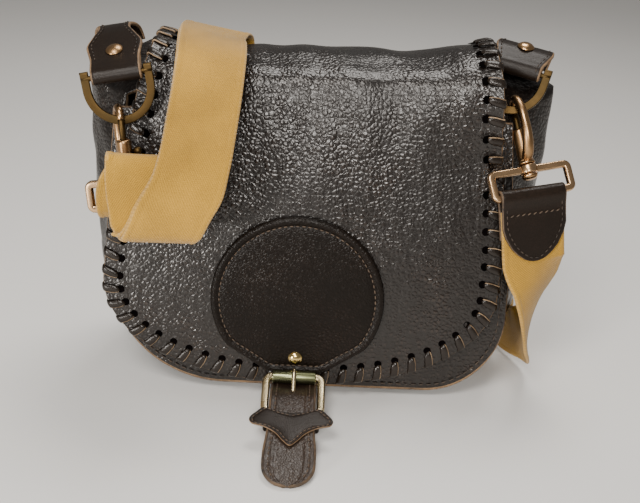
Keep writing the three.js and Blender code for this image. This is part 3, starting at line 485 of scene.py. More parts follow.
def leather(name, dark, light, grain, depth, rough, shine=0.4, wrinkle=0.1):
    """Leather: flat pebbles from cells of grain a metre, upright wrinkles, slow stains and rubbed tops."""
    f = Finish(name)
    shift = f.vector("SUBTRACT", f.noise(grain * 0.6, 2.0, out="Color"), (0.5, 0.5, 0.5))
    warped = f.vector("ADD", f.at, f.vector("SCALE", shift, 0.9 / grain, place=3))
    dome = f.cells(warped, grain, "SMOOTH_F1", Smoothness=0.35)
    gap = f.cells(warped, grain, "DISTANCE_TO_EDGE")
    fine = f.noise(grain * 3.2, 3.0)
    stain = f.noise(22.0, 5.0, Roughness=0.6)
    fold = f.noise(grain * 0.3, 3.0, at=f.vector("MULTIPLY", f.at, (1, 0.6, 0.35)))
    pebble = f.add(f.times(f.span(gap, 0.0, 0.3), 0.5), f.span(dome, 0.0, 0.75, 0.5, 0.0))
    relief = f.add(f.times(pebble, f.span(stain, 0.3, 0.7, 0.5, 1.0)), f.span(fine, 0.0, 1.0, 0.0, 0.12))
    relief = f.add(relief, f.span(fold, 0.3, 0.7, 0.0, 4 * wrinkle))
    tone = f.add(f.span(stain, 0.25, 0.75, 0.0, 0.7), f.span(pebble, 0.2, 0.9, 0.0, 0.4))
    colour = f.shades(tone, (0.1, mixed(dark, BLACK, 0.35)), (0.55, dark), (1.0, light))
    return f.done(colour, f.span(stain, 0.3, 0.7, rough[1], rough[0]), Normal=f.bump(0.75, depth, relief),
                  Specular_IOR_Level=shine, Specular_Tint=(1, 0.97, 0.94, 1))


def raw_edge(name, colour, dark, shine=0.5):
    """Cut edge of leather: fibres in two browns."""
    f = Finish(name)
    fibre = f.noise(420.0, 4.0)
    tone = f.add(f.span(fibre, 0.3, 0.7, 0.0, 0.4), f.span(f.noise(60.0, 2.0), 0.3, 0.7, 0.0, 0.6))
    return f.done(f.shades(tone, (0.15, dark), (0.8, colour)), 0.7, Normal=f.bump(0.6, 0.0004, fibre),
                  Specular_IOR_Level=shine)


def brass(name, bright, dull, rough):
    """Aged brass: tarnish in slow patches over a brushed shine."""
    f = Finish(name)
    patch = f.noise(90.0, 3.0)
    colour = f.shades(f.span(patch, 0.35, 0.85), (0.0, bright), (1.0, dull))
    return f.done(colour, f.span(patch, 0.3, 0.7, *rough), Normal=f.bump(0.1, 0.00004, f.noise(1400.0, 3.0)),
                  Metallic=1.0)


def cotton(name, light, dark, twist=(760.0, 560.0)):
    """Cotton webbing on its UV in metres: twill ribs along twist, crossing yarns and slow stains."""
    f = Finish(name)
    part = f.node("SeparateXYZ", {"Vector": f.node("UVMap", uv_map="cloth").outputs["UV"]})

    def rib(across, run):
        """Sine of the cloth's place, with so many ribs a metre across it and along it."""
        phase = f.add(f.times(part.outputs["X"], across * TURN), f.times(part.outputs["Y"], run * TURN))
        return f.sum("SINE", phase, 0.0)
    weave = f.add(f.times(rib(*twist), 0.5), f.times(rib(-160.0, 900.0), 0.3))
    fuzz = f.noise(1300.0, 3.0)
    tone = f.add(f.span(weave, -0.8, 0.8, 0.0, 0.3), f.span(f.noise(26.0, 4.0), 0.3, 0.7, 0.0, 0.4))
    tone = f.add(tone, f.span(fuzz, 0.3, 0.7, 0.0, 0.2))
    relief = f.add(weave, f.span(fuzz, 0.0, 1.0, -0.3, 0.3))
    return f.done(f.shades(tone, (0.1, dark), (0.9, light)), 0.9, Normal=f.bump(0.6, 0.0003, relief),
                  Sheen_Weight=0.25, Specular_IOR_Level=0.25)


def plain(name, colour):
    """Plain pale floor with the least change of tone."""
    f = Finish(name)
    return f.done(f.shades(f.noise(3.0, 2.0), (0.2, mixed(colour, BLACK, 0.03)), (0.8, colour)), 0.8)


def finish(kind):
    """Material of one of the finishes, made from the panel's colours when it is first asked for."""
    c = bpy.context.scene.bag_colours
    grain = bpy.context.scene.bag_sizes.grain
    soiled = mixed(c.webbing, (0.05, 0.025, 0.006), 0.6)
    maker, name, *rest = {
        "pebbled": (leather, "grain_leather", c.leather, c.leather_rubbed,
                    1 / grain, 0.00042, (0.22, 0.34), 0.55, 0.3),
        "patch": (leather, "disc_leather", c.patch, mixed(c.patch, c.leather_rubbed, 0.5),
                  1.4 / grain, 0.00036, (0.24, 0.36), 0.14, 0.12),
        "smooth": (leather, "tab_leather", c.tab, c.tab_rubbed, 3.0 / grain, 0.00008, (0.28, 0.4), 0.22),
        "worn": (leather, "strap_leather", c.closure, mixed(c.closure, c.edge, 0.12),
                 1.7 / grain, 0.0003, (0.3, 0.42), 0.55, 0.2),
        "lace": (leather, "lace_leather", c.lace, c.tab, 3.5 / grain, 0.00006, (0.2, 0.3)),
        "inside": (leather, "flesh_side", c.leather, mixed(c.leather, c.edge, 0.3),
                   4.0 / grain, 0.0002, (0.75, 0.9)),
        "edge": (raw_edge, "raw_edge", mixed(c.edge, c.leather, 0.2), mixed(c.edge, c.leather, 0.8)),
        # brighter tan cut edge of the thong, put on one edge only as a painted lit side
        "lace_edge": (raw_edge, "lace_edge", mixed(c.edge, (1, 0.8, 0.55), 0.2),
                      mixed(c.edge, c.leather, 0.6)),
        "dark_edge": (raw_edge, "burnished_edge", mixed(c.leather, c.edge, 0.4), c.leather),
        "thread": (raw_edge, "thread", c.thread, mixed(c.thread, BLACK, 0.5)),
        "dark_thread": (raw_edge, "dark_thread", mixed(c.thread, c.leather, 0.4), c.leather),
        # near-black with no shine: painted shade standing in for the inside of a punched hole
        "hole": (raw_edge, "punched_hole", (0.003, 0.002, 0.002), (0.001, 0.001, 0.001), 0.0),
        "webbing": (cotton, "webbing_cloth", c.webbing, soiled),
        "webbing_edge": (cotton, "webbing_edge", mixed(c.webbing, (1, 0.8, 0.5), 0.12), soiled, (0.0, 420.0)),
        "old_brass": (brass, "satin_brass", c.old_brass, mixed(c.old_brass, (0.05, 0.04, 0.02), 0.6),
                      (0.42, 0.58)),
        "pale_brass": (brass, "buckle_brass", c.pale_brass, mixed(c.pale_brass, (0.1, 0.07, 0.03), 0.5),
                       (0.18, 0.36)),
        "rose_brass": (brass, "rose_brass", c.rose_brass, mixed(c.rose_brass, (0.1, 0.06, 0.03), 0.5),
                       (0.2, 0.36)),
        "copper_brass": (brass, "hook_brass", c.copper_brass, mixed(c.copper_brass, (0.08, 0.04, 0.02), 0.6),
                         (0.2, 0.4)),
        "stud": (brass, "stud_brass", mixed(c.pale_brass, (0.75, 0.5, 0.12), 0.6),
                 mixed(c.pale_brass, (0.2, 0.12, 0.03), 0.6), (0.14, 0.3)),
        "green_brass": (brass, "roller_brass", mixed(c.old_brass, (0.3, 0.36, 0.2), 0.4), (0.1, 0.1, 0.05),
                        (0.25, 0.42)),
        "floor": (plain, "pale_floor", c.floor),
    }[kind]
    return bpy.data.materials.get(name) or maker(name, *rest)


# Surfaces of the body

def panel_half(z):
    """Half width of the panels: full to a height, then closer by the square of the height above it."""
    k = np.clip((z - PANEL_STRAIGHT) / (PANEL_HIGH - PANEL_STRAIGHT), 0, 1)
    return PANEL_HALF + (PANEL_HALF_TOP - PANEL_HALF) * k * k


def belly(x, z):
    """Swell of a panel: a cosine across by a sine up."""
    across = np.cos(QUARTER * np.minimum(np.abs(x) / panel_half(z), 1))
    return across * np.sin(math.pi * np.clip(z, 0, PANEL_HIGH) / PANEL_HIGH)


def front_y(x, z):
    """Front panel's face: leaning back, swelled by 5."""
    return -BASE_HALF + FRONT_LEAN * z - 5 * belly(x, z)


def back_y(x, z):
    """Back panel's face: near upright, swelled by 3."""
    return BASE_HALF + BACK_LEAN * z + 3 * belly(x, z)


def flap_y(x, z):
    """Flap's face, standing off the front panel."""
    return front_y(x, z) - FLAP_OFF


def panel_grid(top, face, cols=72, rows=44):
    """Panel: columns from its bottom edge, whose corners are arcs, straight up to its top."""
    k = np.linspace(0, 1, cols // 3)
    f = QUARTER * k[1:]
    low, high = CORNER["left"], CORNER["right"]
    left = np.stack([-(PANEL_HALF - low + low * np.sin(f)), PANEL_LOW + low * (1 - np.cos(f))], -1)[::-1]
    flat = np.stack([-(PANEL_HALF - low) + k * (2 * PANEL_HALF - low - high), np.full_like(k, PANEL_LOW)], -1)
    right = np.stack([PANEL_HALF - high + high * np.sin(f), PANEL_LOW + high * (1 - np.cos(f))], -1)
    edge = np.concatenate([left, flat, right])
    t = np.concatenate([[0], np.linspace(0.008, 1, rows - 1)])[:, None]
    z = edge[None, :, 1] + (top - edge[None, :, 1]) * t
    x = edge[None, :, 0] / PANEL_HALF * panel_half(z)
    return np.stack([x, face(x, z), z], -1)


def gusset_grid(cells=40):
    """Gusset: stations down each side, round the corner arcs and along the bottom; each is carried
    from the front seam to the back seam with a fold that stands out less towards the bottom; both
    tops are turned in towards the bag."""
    def side(name, share):
        """Stations of one side: place, way out, size of the fold and how square it is."""
        r, flat = CORNER[name] - GUSSET_IN, PANEL_HALF - CORNER[name]
        start = GUSSET_LOW + r
        z = np.linspace(GUSSET_HIGH, start, 40)[:-1]
        f = QUARTER * (1 - np.linspace(0, 1, 26))
        s = np.sin(f) ** 2.2
        up = np.stack([panel_half(z) - GUSSET_IN, z, np.ones_like(z), 0 * z,
                       share * table(GUSSET_FOLD, z), 0 * z], -1)
        turn = np.stack([flat + r * np.sin(f), GUSSET_LOW + r * (1 - np.cos(f)), np.sin(f), -np.cos(f),
                         GUSSET_LOW + (share * table(GUSSET_FOLD, start) - GUSSET_LOW) * s, 1 - s], -1)
        return np.concatenate([up, turn])
    right, left = side("right", 1), (side("left", 0.8) * (-1, 1, -1, 1, 1, 1))[::-1]
    k = np.linspace(0, 1, 24)[1:-1, None]
    bottom = right[-1:] + (left[:1] - right[-1:]) * k
    x, z, nx, nz, out, low = np.concatenate([right, bottom, left]).T[..., None]
    t = np.linspace(0, 1, cells + 1)[None]
    d = np.abs(2 * t - 1)
    bulge = out * ((1 - d ** 1.5) * (1 - low) + np.minimum(1, 2 * (1 - d)) * low)
    slope = (GUSSET_FRONT + (BACK_TOP - GUSSET_FRONT) * t - GUSSET_HIGH) * ramp(110, GUSSET_HIGH, z)
    front, back = -BASE_HALF + FRONT_LEAN * z + SEAM_DEEP, BASE_HALF + BACK_LEAN * z - SEAM_DEEP
    grid = np.stack([x + nx * bulge, front + (back - front) * t, z + nz * bulge + slope], -1)
    d = np.linspace(1, 0, 9)[:-1, None, None]
    turn = [edge + d * ((TURNED_IN * np.sign(edge[:, :1]) - edge[:, :1]) * X_WAY)
            + np.sin(QUARTER * d) * (0, 0, 4) for edge in (grid[0], grid[-1])]
    return np.concatenate([turn[0], grid, turn[1][::-1]])


def flap_grid(cols=150, per_span=9):
    """Flap: rows over the back and the top, then down the front to the rounded bottom edge, made
    smooth along the rows by a spline; the top sags and its right front corner is lifted."""
    def across(z):
        """Columns of a row: its middle and its half width by height."""
        return np.clip(0.0625 * (z - 140), -4, 5) + u * table(FLAP_HALF, z)
    u = np.sin(math.pi * (np.linspace(0, 1, cols) - 0.5))
    corner = ramp(0.45, 1, u)[None]
    top = np.array(FLAP_TOP, float)
    lift = corner * ramp(2, 7, np.arange(len(top))[:, None])
    y, z = (np.repeat(top[:, k:k + 1], cols, 1) for k in (0, 1))
    sag = 6 * (1 - u ** 4)[None] * ramp(203, 213, z)
    over = np.stack([across(z), y - 6 * lift, z + 4 * lift - sag], -1)
    bottom = FLAP_SIDE - FLAP_LOW * (1 - np.abs(u) ** FLAP_ROUND) ** (1 / FLAP_ROUND)
    z = FLAP_FRONT + (bottom[None] - FLAP_FRONT) * (np.arange(1, 10) / 9)[:, None]
    x = across(z)
    front = np.stack([x, flap_y(x, z) - 6 * corner * ramp(150, 195, z), z], -1)
    return spline(np.concatenate([over, front]), per_span)


def edge_path(grid, out):
    """Left edge down, bottom edge across and right edge up, with the side out and the way in."""
    path, up = (np.concatenate([v[:, 0], v[-1, 1:-1], v[::-1, -1]]) for v in (grid, out))
    return path, up, unit(np.cross(up, tangents(path)))


# Places of the hardware

HANGERS = {"left": matrix((-114, -26.5, 201.5), ("Z", 9), ("Y", -9)),
           "right": matrix((121.3, 4, 207.5), ("Z", -20), ("Y", 8.7))}
RING_LEAN = {"left": 11, "right": 31.2}
CHAINS = {"left": matrix((-107.158, -41.741, 144.868), ("Y", -6), ("X", -9)),
          "right": matrix((129.061, -23.747, 156.74), ("Z", 12.5), ("Y", -7.7), ("X", -38))}
SPINES = {"left": 114, "right": -90}
KNOBS = {"left": -108, "right": 112}
LOOP_BAR = -18.2
END = CHAINS["right"] @ matrix((-1.4, 0, LOOP_BAR), ("X", 28.5), ("Y", 1.5))


# Operators

class BodyMake(bpy.types.Operator):
    """Front panel, back panel and folded gusset, with the seams sewn along both panels"""
    bl_idname = "bag.body"
    bl_label = "Body"

    skins = ("pebbled", "edge", "inside")
    panel_t, gusset_t, seam_in = 2.4, 2.2, 4.2

    def execute(self, context):
        seam = context.scene.bag_sizes.seam / MM
        for name, top, face, way in (("front_panel", FRONT_TOP, front_y, 1),
                                     ("back_panel", BACK_TOP, back_y, -1)):
            grid = panel_grid(top, face)[::-1]
            x, z = grid[..., 0], grid[..., 2]
            rest = np.clip(1 - np.abs(x) / panel_half(z), 0, 0.2) / 0.2 * ramp(6, 30, z)
            grid[..., 1] += way * 0.8 * rest * (1 + waves(grid * (1, 0, 0.6), 55, 3))
            inside = np.zeros_like(grid) + (0, way, 0)
            shell(name + "_leather", grid, self.panel_t, self.skins, inside=inside, lip=1, replaces=[name],
                  slot="pebbled_leather")
            path, up, inward = edge_path(grid, -inside)
            line = path + inward * self.seam_in * way
            stitches(name + "_seam", line[3:-3], up[3:-3], seam, "dark_thread", 0.72)
        grid = gusset_grid()
        crease = 0.9 * waves(grid * (1, 1.6, 0.7), 30, 11) * ramp(0, 8, from_edge(grid.shape[1]))
        grid = grid + normals(grid) * crease[..., None] * ramp(4, 26, grid[..., 2:])
        shell("gusset_leather", grid, self.gusset_t, self.skins, replaces=["gusset"], slot="pebbled_leather")
        return {"FINISHED"}


class FlapMake(bpy.types.Operator):
    """Front flap with wrinkles, and the thong laced over its edge through a row of punched holes, each shown
    as a near-black disc of painted shade
    """
    bl_idname = "bag.flap"
    bl_label = "Flap"

    first, last, hole_in = 22, 28, 9.9
    turns = ((0, 8.6, -0.5), (-0.2, 8.0, 0.55), (-0.8, 6.2, 0.85), (-1.8, 3.0, 0.85), (-2.7, 0.3, 0.7),
             (-3.1, -0.9, -0.5), (-3.4, -0.9, -FLAP_T + 0.4), (-3.8, 0.8, -FLAP_T - 0.7),
             (-4.6, 4, -FLAP_T - 0.8), (-5.4, 7, -FLAP_T - 0.5))
    hole = ((0, 0.14), (1.5, 0.16), (1.8, 0.3), (2.15, 0.25), (2.5, 0.0), (0, -0.3))

    def execute(self, context):
        sizes = context.scene.bag_sizes
        grid = flap_grid()
        wrinkle = 0.5 + 0.5 * waves(grid * (1, 0.35, 0.25), 26, 5)
        dent = 0.5 + 0.5 * waves(grid, 70, 8)
        calm = ramp(2, 26, from_edge(grid.shape[1]))[None]
        high = calm * (1.1 * dent + 1.6 * wrinkle * ramp(110, 205, grid[..., 2]))
        grid = grid + normals(grid) * high[..., None]
        x, z = grid[..., 0], grid[..., 2]
        slope = np.stack([flap_y(x - 0.5, z) - flap_y(x + 0.5, z), np.ones_like(x),
                          flap_y(x, z - 0.5) - flap_y(x, z + 0.5)], -1)
        low = (ramp(150, 120, z) * (np.arange(len(grid)) > 90)[:, None] * (1 - calm))[..., None]
        inside = unit(normals(grid) * (1 - low) + unit(slope) * low)
        shell("flap_leather", grid, FLAP_T, ("pebbled", "edge", "inside"), inside=inside,
              replaces=["flap"], slot="pebbled_leather")
        path, up, inward = edge_path(grid, -inside)
        at = np.arange(self.first, lengths(path)[-1] - self.last, sizes.lace_pitch / MM)
        self.lace(path, up, inward, at, sizes.lace_width / MM)
        # each hole is a near-black disc with a low ring laid on the flap: painted shade where the hole would
        # be dark
        e, n, i = along(path, at, up, inward)
        rows, ring = np.array(self.hole), circle(12)
        t, i, n = (v[:, None, None] for v in (unit(np.cross(n, i)), unit(i), unit(n)))
        flat = ring[:, :1] * t + ring[:, 1:] * i
        grids = e[:, None, None] + i * self.hole_in + rows[:, None, :1] * flat + rows[:, None, 1:] * n
        many("lace_hole_shade_discs", grids, ["hole"])
        return {"FINISHED"}

    def lace(self, path, up, inward, at, width):
        """Each turn of the thong: out of its hole, slanting to the edge, round it and back below. Only one
        cut edge of each turn gets the brighter tan, painted as lit; the other edge keeps the thong's dark
        colour as painted shade.
        """
        way = spline(self.turns, 2)
        wide = table(((0, 0.55), (2, 0.75), (5, 1), (20, 1)), np.arange(len(way)))
        place = (at[:, None] + way[None, :, 0]).ravel()
        shape = (len(at), len(way), 3)
        e, n, i = (v.reshape(shape) for v in along(path, place, up, inward))
        ahead = along(path, place + 0.5).reshape(shape)
        points = e + unit(i) * way[:, 1:2] + unit(n) * way[:, 2:]
        side = unit(ahead - e)
        t = unit(np.gradient(points, axis=1))
        w = unit(side - (side * t).sum(-1, keepdims=True) * t)
        ring = band_ring(width / 2 * wide, 1.0, 4, 1, relief=lambda u: 0.35 * (1 - u * u))
        n = np.cross(w, t)
        grids = points[:, :, None] + w[:, :, None] * ring[..., :1] + n[:, :, None] * ring[..., 1:]
        first, last = (grids[:, k:k + 1].mean(2, keepdims=True).repeat(grids.shape[2], 2) for k in (0, -1))
        # faces round one edge get the brighter tan as the painted lit side; the other edge keeps the dark
        # thong colour as painted shade
        many("flap_lacing", np.concatenate([first, grids, last], axis=1), ["lace", "lace_edge"],
             kind=(0, 0, 0, 1, 1, 0, 0, 0, 0, 0))


class PatchMake(bpy.types.Operator):
    """Round patch with a rolled rim and a stitched groove, and its brass stud"""
    bl_idname = "bag.patch"
    bl_label = "Patch"

    radius, neck, groove_in, groove_high, stud_high = 54, 49, 5.5, 2.45, 3.2
    chord = ((44, -31.3), (17.2, -49.0))
    rim = ((0, 0, 3.0), (8, 0.4, 3.05), (8, 0.75, 3.0), (8, 0.95, 2.9), (7, 1, 2.75), (6.1, 1, 2.5),
           (5.5, 1, 2.3), (4.9, 1, 2.45), (4.2, 1, 2.95), (3.2, 1, 3.4), (2.2, 1, 3.55), (1.1, 1, 3.3),
           (0.35, 1, 2.6), (0, 1, 1.7), (0.2, 1, 0.8), (1, 1, 0.4), (0, 0, 0.4))
    dome = ((0, 2.5), (1.2, 2.45), (2.5, 2.1), (3.5, 1.5), (4.2, 0.8), (4.55, 0.35), (4.6, 0.1), (4.3, -0.3),
            (0, -0.4))

    def outline(self, count=180):
        """Circle cut by two chords that run down to the neck, its corners rounded by a running mean."""
        f = (np.arange(count) + 0.5) / count * TURN
        way = np.stack([np.abs(np.sin(f)), np.cos(f)], -1)
        a, b = np.array(self.chord)
        n = unit(np.array((a[1] - b[1], b[0] - a[0])))
        n = n * np.sign(n @ a)
        chord = np.where(way @ n > 1e-3, (n @ a) / np.maximum(way @ n, 1e-3), 1e3)
        neck = np.where(way[:, 1] < 0, self.neck / np.maximum(-way[:, 1], 1e-3), 1e3)
        r = np.minimum(np.minimum(self.radius, chord), neck)
        r = np.mean([np.roll(r, k) for k in (-2, -1, 0, 1, 2)], axis=0)
        return np.stack([np.sin(f) * r, np.cos(f) * r], -1)

    def place(self, x, v, high):
        """Set on the flap's face: heights stand out of its slope."""
        lean = math.cos(math.radians(LEAN))
        x, z = CLOSE_X + x, PATCH_Z + v * lean
        return np.stack([x, flap_y(x, z) - high / lean, z], -1)

    def execute(self, context):
        out = self.outline()
        medallion("patch_leather", out, self.rim, self.place, ["patch"], replaces=["round_patch"],
                  slot="patch_leather")
        pitch = context.scene.bag_sizes.stitch / MM
        path = self.place(*inset(out, self.groove_in).T, self.groove_high)
        stitches("patch_stitches", path, (0, -1, -FRONT_LEAN), pitch, "thread", slot="patch_leather")
        seat = Vector(self.place(0.0, STUD_UP, self.stud_high))
        cap = moved(matrix(seat, ("X", 90 - LEAN)), lathe(self.dome))
        solid("stud_cap", "stud", cap, replaces=["patch_stud"], slot="pale_brass")
        return {"FINISHED"}


class ClosureMake(bpy.types.Operator):
    """Buckle strap with stitched edges, its keeper, and the buckle with roller, prong and chape"""
    bl_idname = "bag.closure"
    bl_label = "Closure"

    strap_t, chape_t, chape_half, chape_bend = 2.6, 1.8, 12.5, 3.4
    stitch_in, stitch_up, groove_in, groove_high = 4.0, 1.45, 2.0, 3.4
    frame_half, frame_corner, frame_bar = 17.3, 4, 2.1
    keeper_at, keeper_half, keeper_t = (CLOSE_X, -97, 13.9), 4.5, 1.6
    rows = ((-53.7, 19.8, 14.6), (-55.2, 17.6, 14.5), (-58.6, 16.2, 14.3), (-65, 16.9, 14.2),
            (-71.4, 18.7, 14.2), (-78.2, 19.4, 14.2), (-86.7, 17.4, 14.3), (-96, 14.2, 14.4),
            (-106, 11.2, 14.7), (-114, 8.9, 15.6), (-122, 6.7, 15.8), (-129, 4.7, 15.2), (-134, 3.3, 12.6),
            (-137, 2.5, 9.4), (-139, 1.9, 3.5))
    tube = ((2.55, -13.6), (3.8, -13.6), (4.1, -13.4), (4.2, -13), (4.2, 13), (4.1, 13.4), (3.8, 13.6),
            (2.55, 13.6))
    arm = ((22.6, 0, 1.5), (17, 0.1, 1.5), (12, 1.7, 1.5), (6, 4.2, 1.45), (1, 6.2, 1.35), (-2, 6.6, 1.15))
    eye = ((2.45, -1.9), (3.7, -1.9), (3.95, -1.6), (3.95, 1.6), (3.7, 1.9), (2.45, 1.9))
    chape = ((-45.3, 22), (-46.2, 13), (-49, 6.6), (-56, 4.6), (-69, 5.4), (-79, 7.2))
    front = ((0, 5), (9, 6.2), (17, 8.6), (21, 5.5), (25, 0.5), (24, -2.6), (16, -5.2), (9, -9.5), (4, -15),
             (0, -18))
    rim = ((0, 0, 3.7), (3.2, 0.6, 3.7), (3.2, 0.95, 3.65), (2.6, 1, 3.5), (2.0, 1, 3.35), (1.4, 1, 3.6),
           (0.7, 1, 3.75), (0.2, 1, 3.4), (0, 1, 2.8), (0.3, 1, 2.0), (0, 0, 1.95))

    def execute(self, context):
        pitch = context.scene.bag_sizes.stitch / MM
        line = spline(self.rows, 8)
        points = at_x(line, CLOSE_X)
        half = np.clip(line[:, 2], 1.5, None)
        lift = lambda u: 0.45 * ramp(0.55, 0.66, np.abs(u)) - 0.35 * np.exp(-((np.abs(u) - 0.8) / 0.05) ** 2)
        band("closure_leather", points, X_WAY, half, self.strap_t, ["worn", "dark_edge"], across=41,
             relief=lift, replaces=["closure_strap"])
        up = np.cross(X_WAY, tangents(points))
        up = up * np.sign(up[:, 2:].mean())
        for side, way in zip(SIDES, (-1, 1)):
            edge = points + X_WAY * (way * (half - self.stitch_in))[:, None] + up * self.stitch_up
            stitches(f"closure_stitches_{side}", edge[4:-14], up[4:-14], pitch, "thread")
        self.buckle()
        f = np.radians((250, 205, 160, 115, 70, 25, -10))
        round_heel = HEEL[1:] + self.chape_bend * np.stack([np.cos(f), np.sin(f)], -1)
        run = spline(np.concatenate([self.chape, round_heel]), 5, 0)
        band("chape_leather", at_x(run, CLOSE_X), X_WAY, self.chape_half, self.chape_t, ["worn", "dark_edge"],
             replaces=["buckle_chape"])
        self.keeper(pitch)
        return {"FINISHED"}

    def buckle(self):
        """Frame from roller to heel, the roller's tube, and the prong with its eye round the heel."""
        down = unit(HEEL - ROLLER)
        n = np.array((0, down[2], -down[1]))
        in_frame = lambda rows: ROLLER + rows @ np.stack([X_WAY, down, n])
        loop = rounded(self.frame_half, 0, np.linalg.norm(HEEL - ROLLER), self.frame_corner, 8)
        frame_bar = bar(in_frame(np.pad(loop, ((0, 0), (0, 1)))), n, self.frame_bar, joined=True,
                        ring=rounded(0.86, -1.14, 1.14, 0.55, 4))
        solid("buckle_bar", "pale_brass", frame_bar, replaces=["buckle_frame"], slot="pale_brass")
        tube = moved(matrix(Vector(ROLLER), ("Y", 90)), lathe(self.tube))
        solid("roller_tube", "green_brass", tube, replaces=["buckle_roller"], slot="old_brass")
        arm = spline(self.arm, 5)
        arm_bar = bar(in_frame(at_x(arm)), X_WAY, arm[:, 2], 12)
        eye = moved(matrix(Vector(HEEL), ("Y", 90)), lathe(self.eye))
        solid("prong_bar", "pale_brass", arm_bar, eye, replaces=["buckle_prong"], slot="pale_brass")

    def keeper(self, pitch):
        """Pointed leather front on a loop round the strap, on the strap's slope."""
        half = np.array(self.front, float)
        whole = np.concatenate([half, half[-2:0:-1] * (-1, 1)]) - (0, -2)
        ring = spline(np.concatenate([whole, whole[:1]]), 8, 0.5)[:-1]
        (upper_y, upper_z, _), (lower_y, lower_z, _) = self.rows[7], self.rows[11]
        slope = math.degrees(math.atan2(lower_z - upper_z, lower_y - upper_y)) + 180
        turn = matrix(self.keeper_at, ("X", slope - 90))
        place = lambda a, b, h: moved(turn, np.stack(np.broadcast_arrays(a, -h, b - 2), -1))
        medallion("keeper_front", ring, self.rim, place, ["smooth", "edge"], cut=(7, 8), replaces=["keeper"])
        path = place(*inset(ring, self.groove_in).T, self.groove_high)
        stitches("keeper_stitches", path, turned(turn, -Y_WAY), pitch * 0.8, "thread", 0.6875, 0.8)
        loop = np.pad(rounded(16.0, -2.8, 2.4, 1.2, 5), ((0, 0), (0, 1)))
        grid = bar(loop, (0, 0, 1), 1, joined=True, ring=band_ring(self.keeper_half, self.keeper_t, 6, 2)[0])
        solid("keeper_band", "smooth", moved(turn, grid * (1, -1, 1)))


class HangersMake(bpy.types.Operator):
    """Leather tabs with their rivets and stitched edges, and the D-rings in their folds"""
    bl_idname = "bag.hangers"
    bl_label = "Hangers"

    steps, sewn = 110, 68
    thick, stitch_in, stitch_up, rivet_up = 2.3, 3.2, 1.15, 1.5
    pin_half, pin_r = 20.4, 1.6
    profiles = {
        "left": ((60, 5), (59.4, 9.4), (54, 15.6), (46, 18.2), (34, 16.4), (22, 11.6), (12, 7.8), (4, 5.4),
                 (-1.5, 3.2), (-3.3, -0.6), (-1.2, -3.1), (2.2, -2.2), (6.5, 0.8), (12, 3.9), (19, 6.6)),
        "right": ((27, -3.6), (26.6, 2), (23, 7.6), (17, 10), (10, 9.2), (4, 6), (-1.5, 3.3), (-3.3, -0.6),
                  (-1.2, -3.1), (2.2, -2.2), (6.5, 0.8), (10.5, 3.6), (15.5, 5.4)),
    }
    halves = {
        "left": ((0, 15.5), (0.1, 14.5), (0.2, 10), (0.28, 9.5), (0.36, 13), (0.44, 17), (0.58, 14.5),
                 (1, 14.5)),
        "right": ((0, 15.5), (0.38, 18), (0.56, 14.5), (1, 14.5)),
    }
    rivets = {"left": 56, "right": 39}
    dome = ((0, 2.4), (1.4, 2.35), (2.9, 1.95), (4.0, 1.35), (4.8, 0.7), (5.15, 0.25), (5.2, 0), (4.8, -0.3),
            (0, -0.3))

    def execute(self, context):
        pitch = context.scene.bag_sizes.stitch / MM
        for side in SIDES:
            turn, k = HANGERS[side], self.rivets[side]
            points = at_x(evenly(spline(self.profiles[side], 8, 0), self.steps))
            half = np.pad(table(self.halves[side], np.linspace(0, 1, self.steps)), 3, mode="edge")
            half = np.convolve(half, np.ones(7) / 7, "valid")
            here, wide = moved(turn, points), turned(turn, X_WAY)
            band(f"{side}_tab_leather", here, wide, half, self.thick, ["smooth", "edge"], across=20,
                 replaces=[f"{side}_tab"])
            out = np.cross(wide, tangents(here))
            out = out * np.sign(out[k, 2])
            for way, name in ((-1, "outer"), (1, "inner")):
                edge = here + wide * (way * (half - self.stitch_in))[:, None] + out * self.stitch_up
                stitches(f"{side}_tab_{name}_stitches", edge[4:self.sewn], out[4:self.sewn], pitch,
                         "dark_thread", 0.6, 0.8)
            up = np.cross(X_WAY, unit(points[k + 1] - points[k - 1]))
            up = up * np.sign(up[2])
            lean = math.degrees(math.atan2(-up[1], up[2]))
            seat = Vector(points[k] + up * self.rivet_up)
            dome = moved(turn @ matrix(seat, ("X", lean)), lathe(self.dome))
            solid(f"{side}_rivet_cap", "copper_brass", dome, replaces=[f"{side}_rivet"], slot="copper_brass")
            self.ring(side, turn @ matrix((0, 0, 0), ("X", -RING_LEAN[side])))
        return {"FINISHED"}

    def ring(self, side, turn):
        """D-ring: a flat bar bent to a U, half an ellipse below two short legs, and a pin across its ends."""
        f = np.linspace(0, math.pi, 60)
        across, deep = DRING_HALF - DRING_BAR, DRING_DEEP - DRING_BAR - DRING_LEG
        leg = np.stack([np.full(8, across), np.linspace(4, -6, 8)], -1)
        bow = np.stack([across * np.cos(f), -DRING_LEG - deep * np.sin(f)], -1)
        path = at_y0(np.concatenate([leg, bow, leg[::-1] * (-1, 1)]))
        grid = bar(path, np.cross(tangents(path), Y_WAY), 1, ring=rounded(DRING_BAR, -1.4, 1.4, 0.5, 5))
        pin = bar(np.linspace(-self.pin_half, self.pin_half, 12)[:, None] * X_WAY, Y_WAY, self.pin_r)
        solid(f"{side}_dring_bar", "old_brass", moved(turn, grid), moved(turn, pin),
              replaces=[f"{side}_dring"], slot="old_brass")


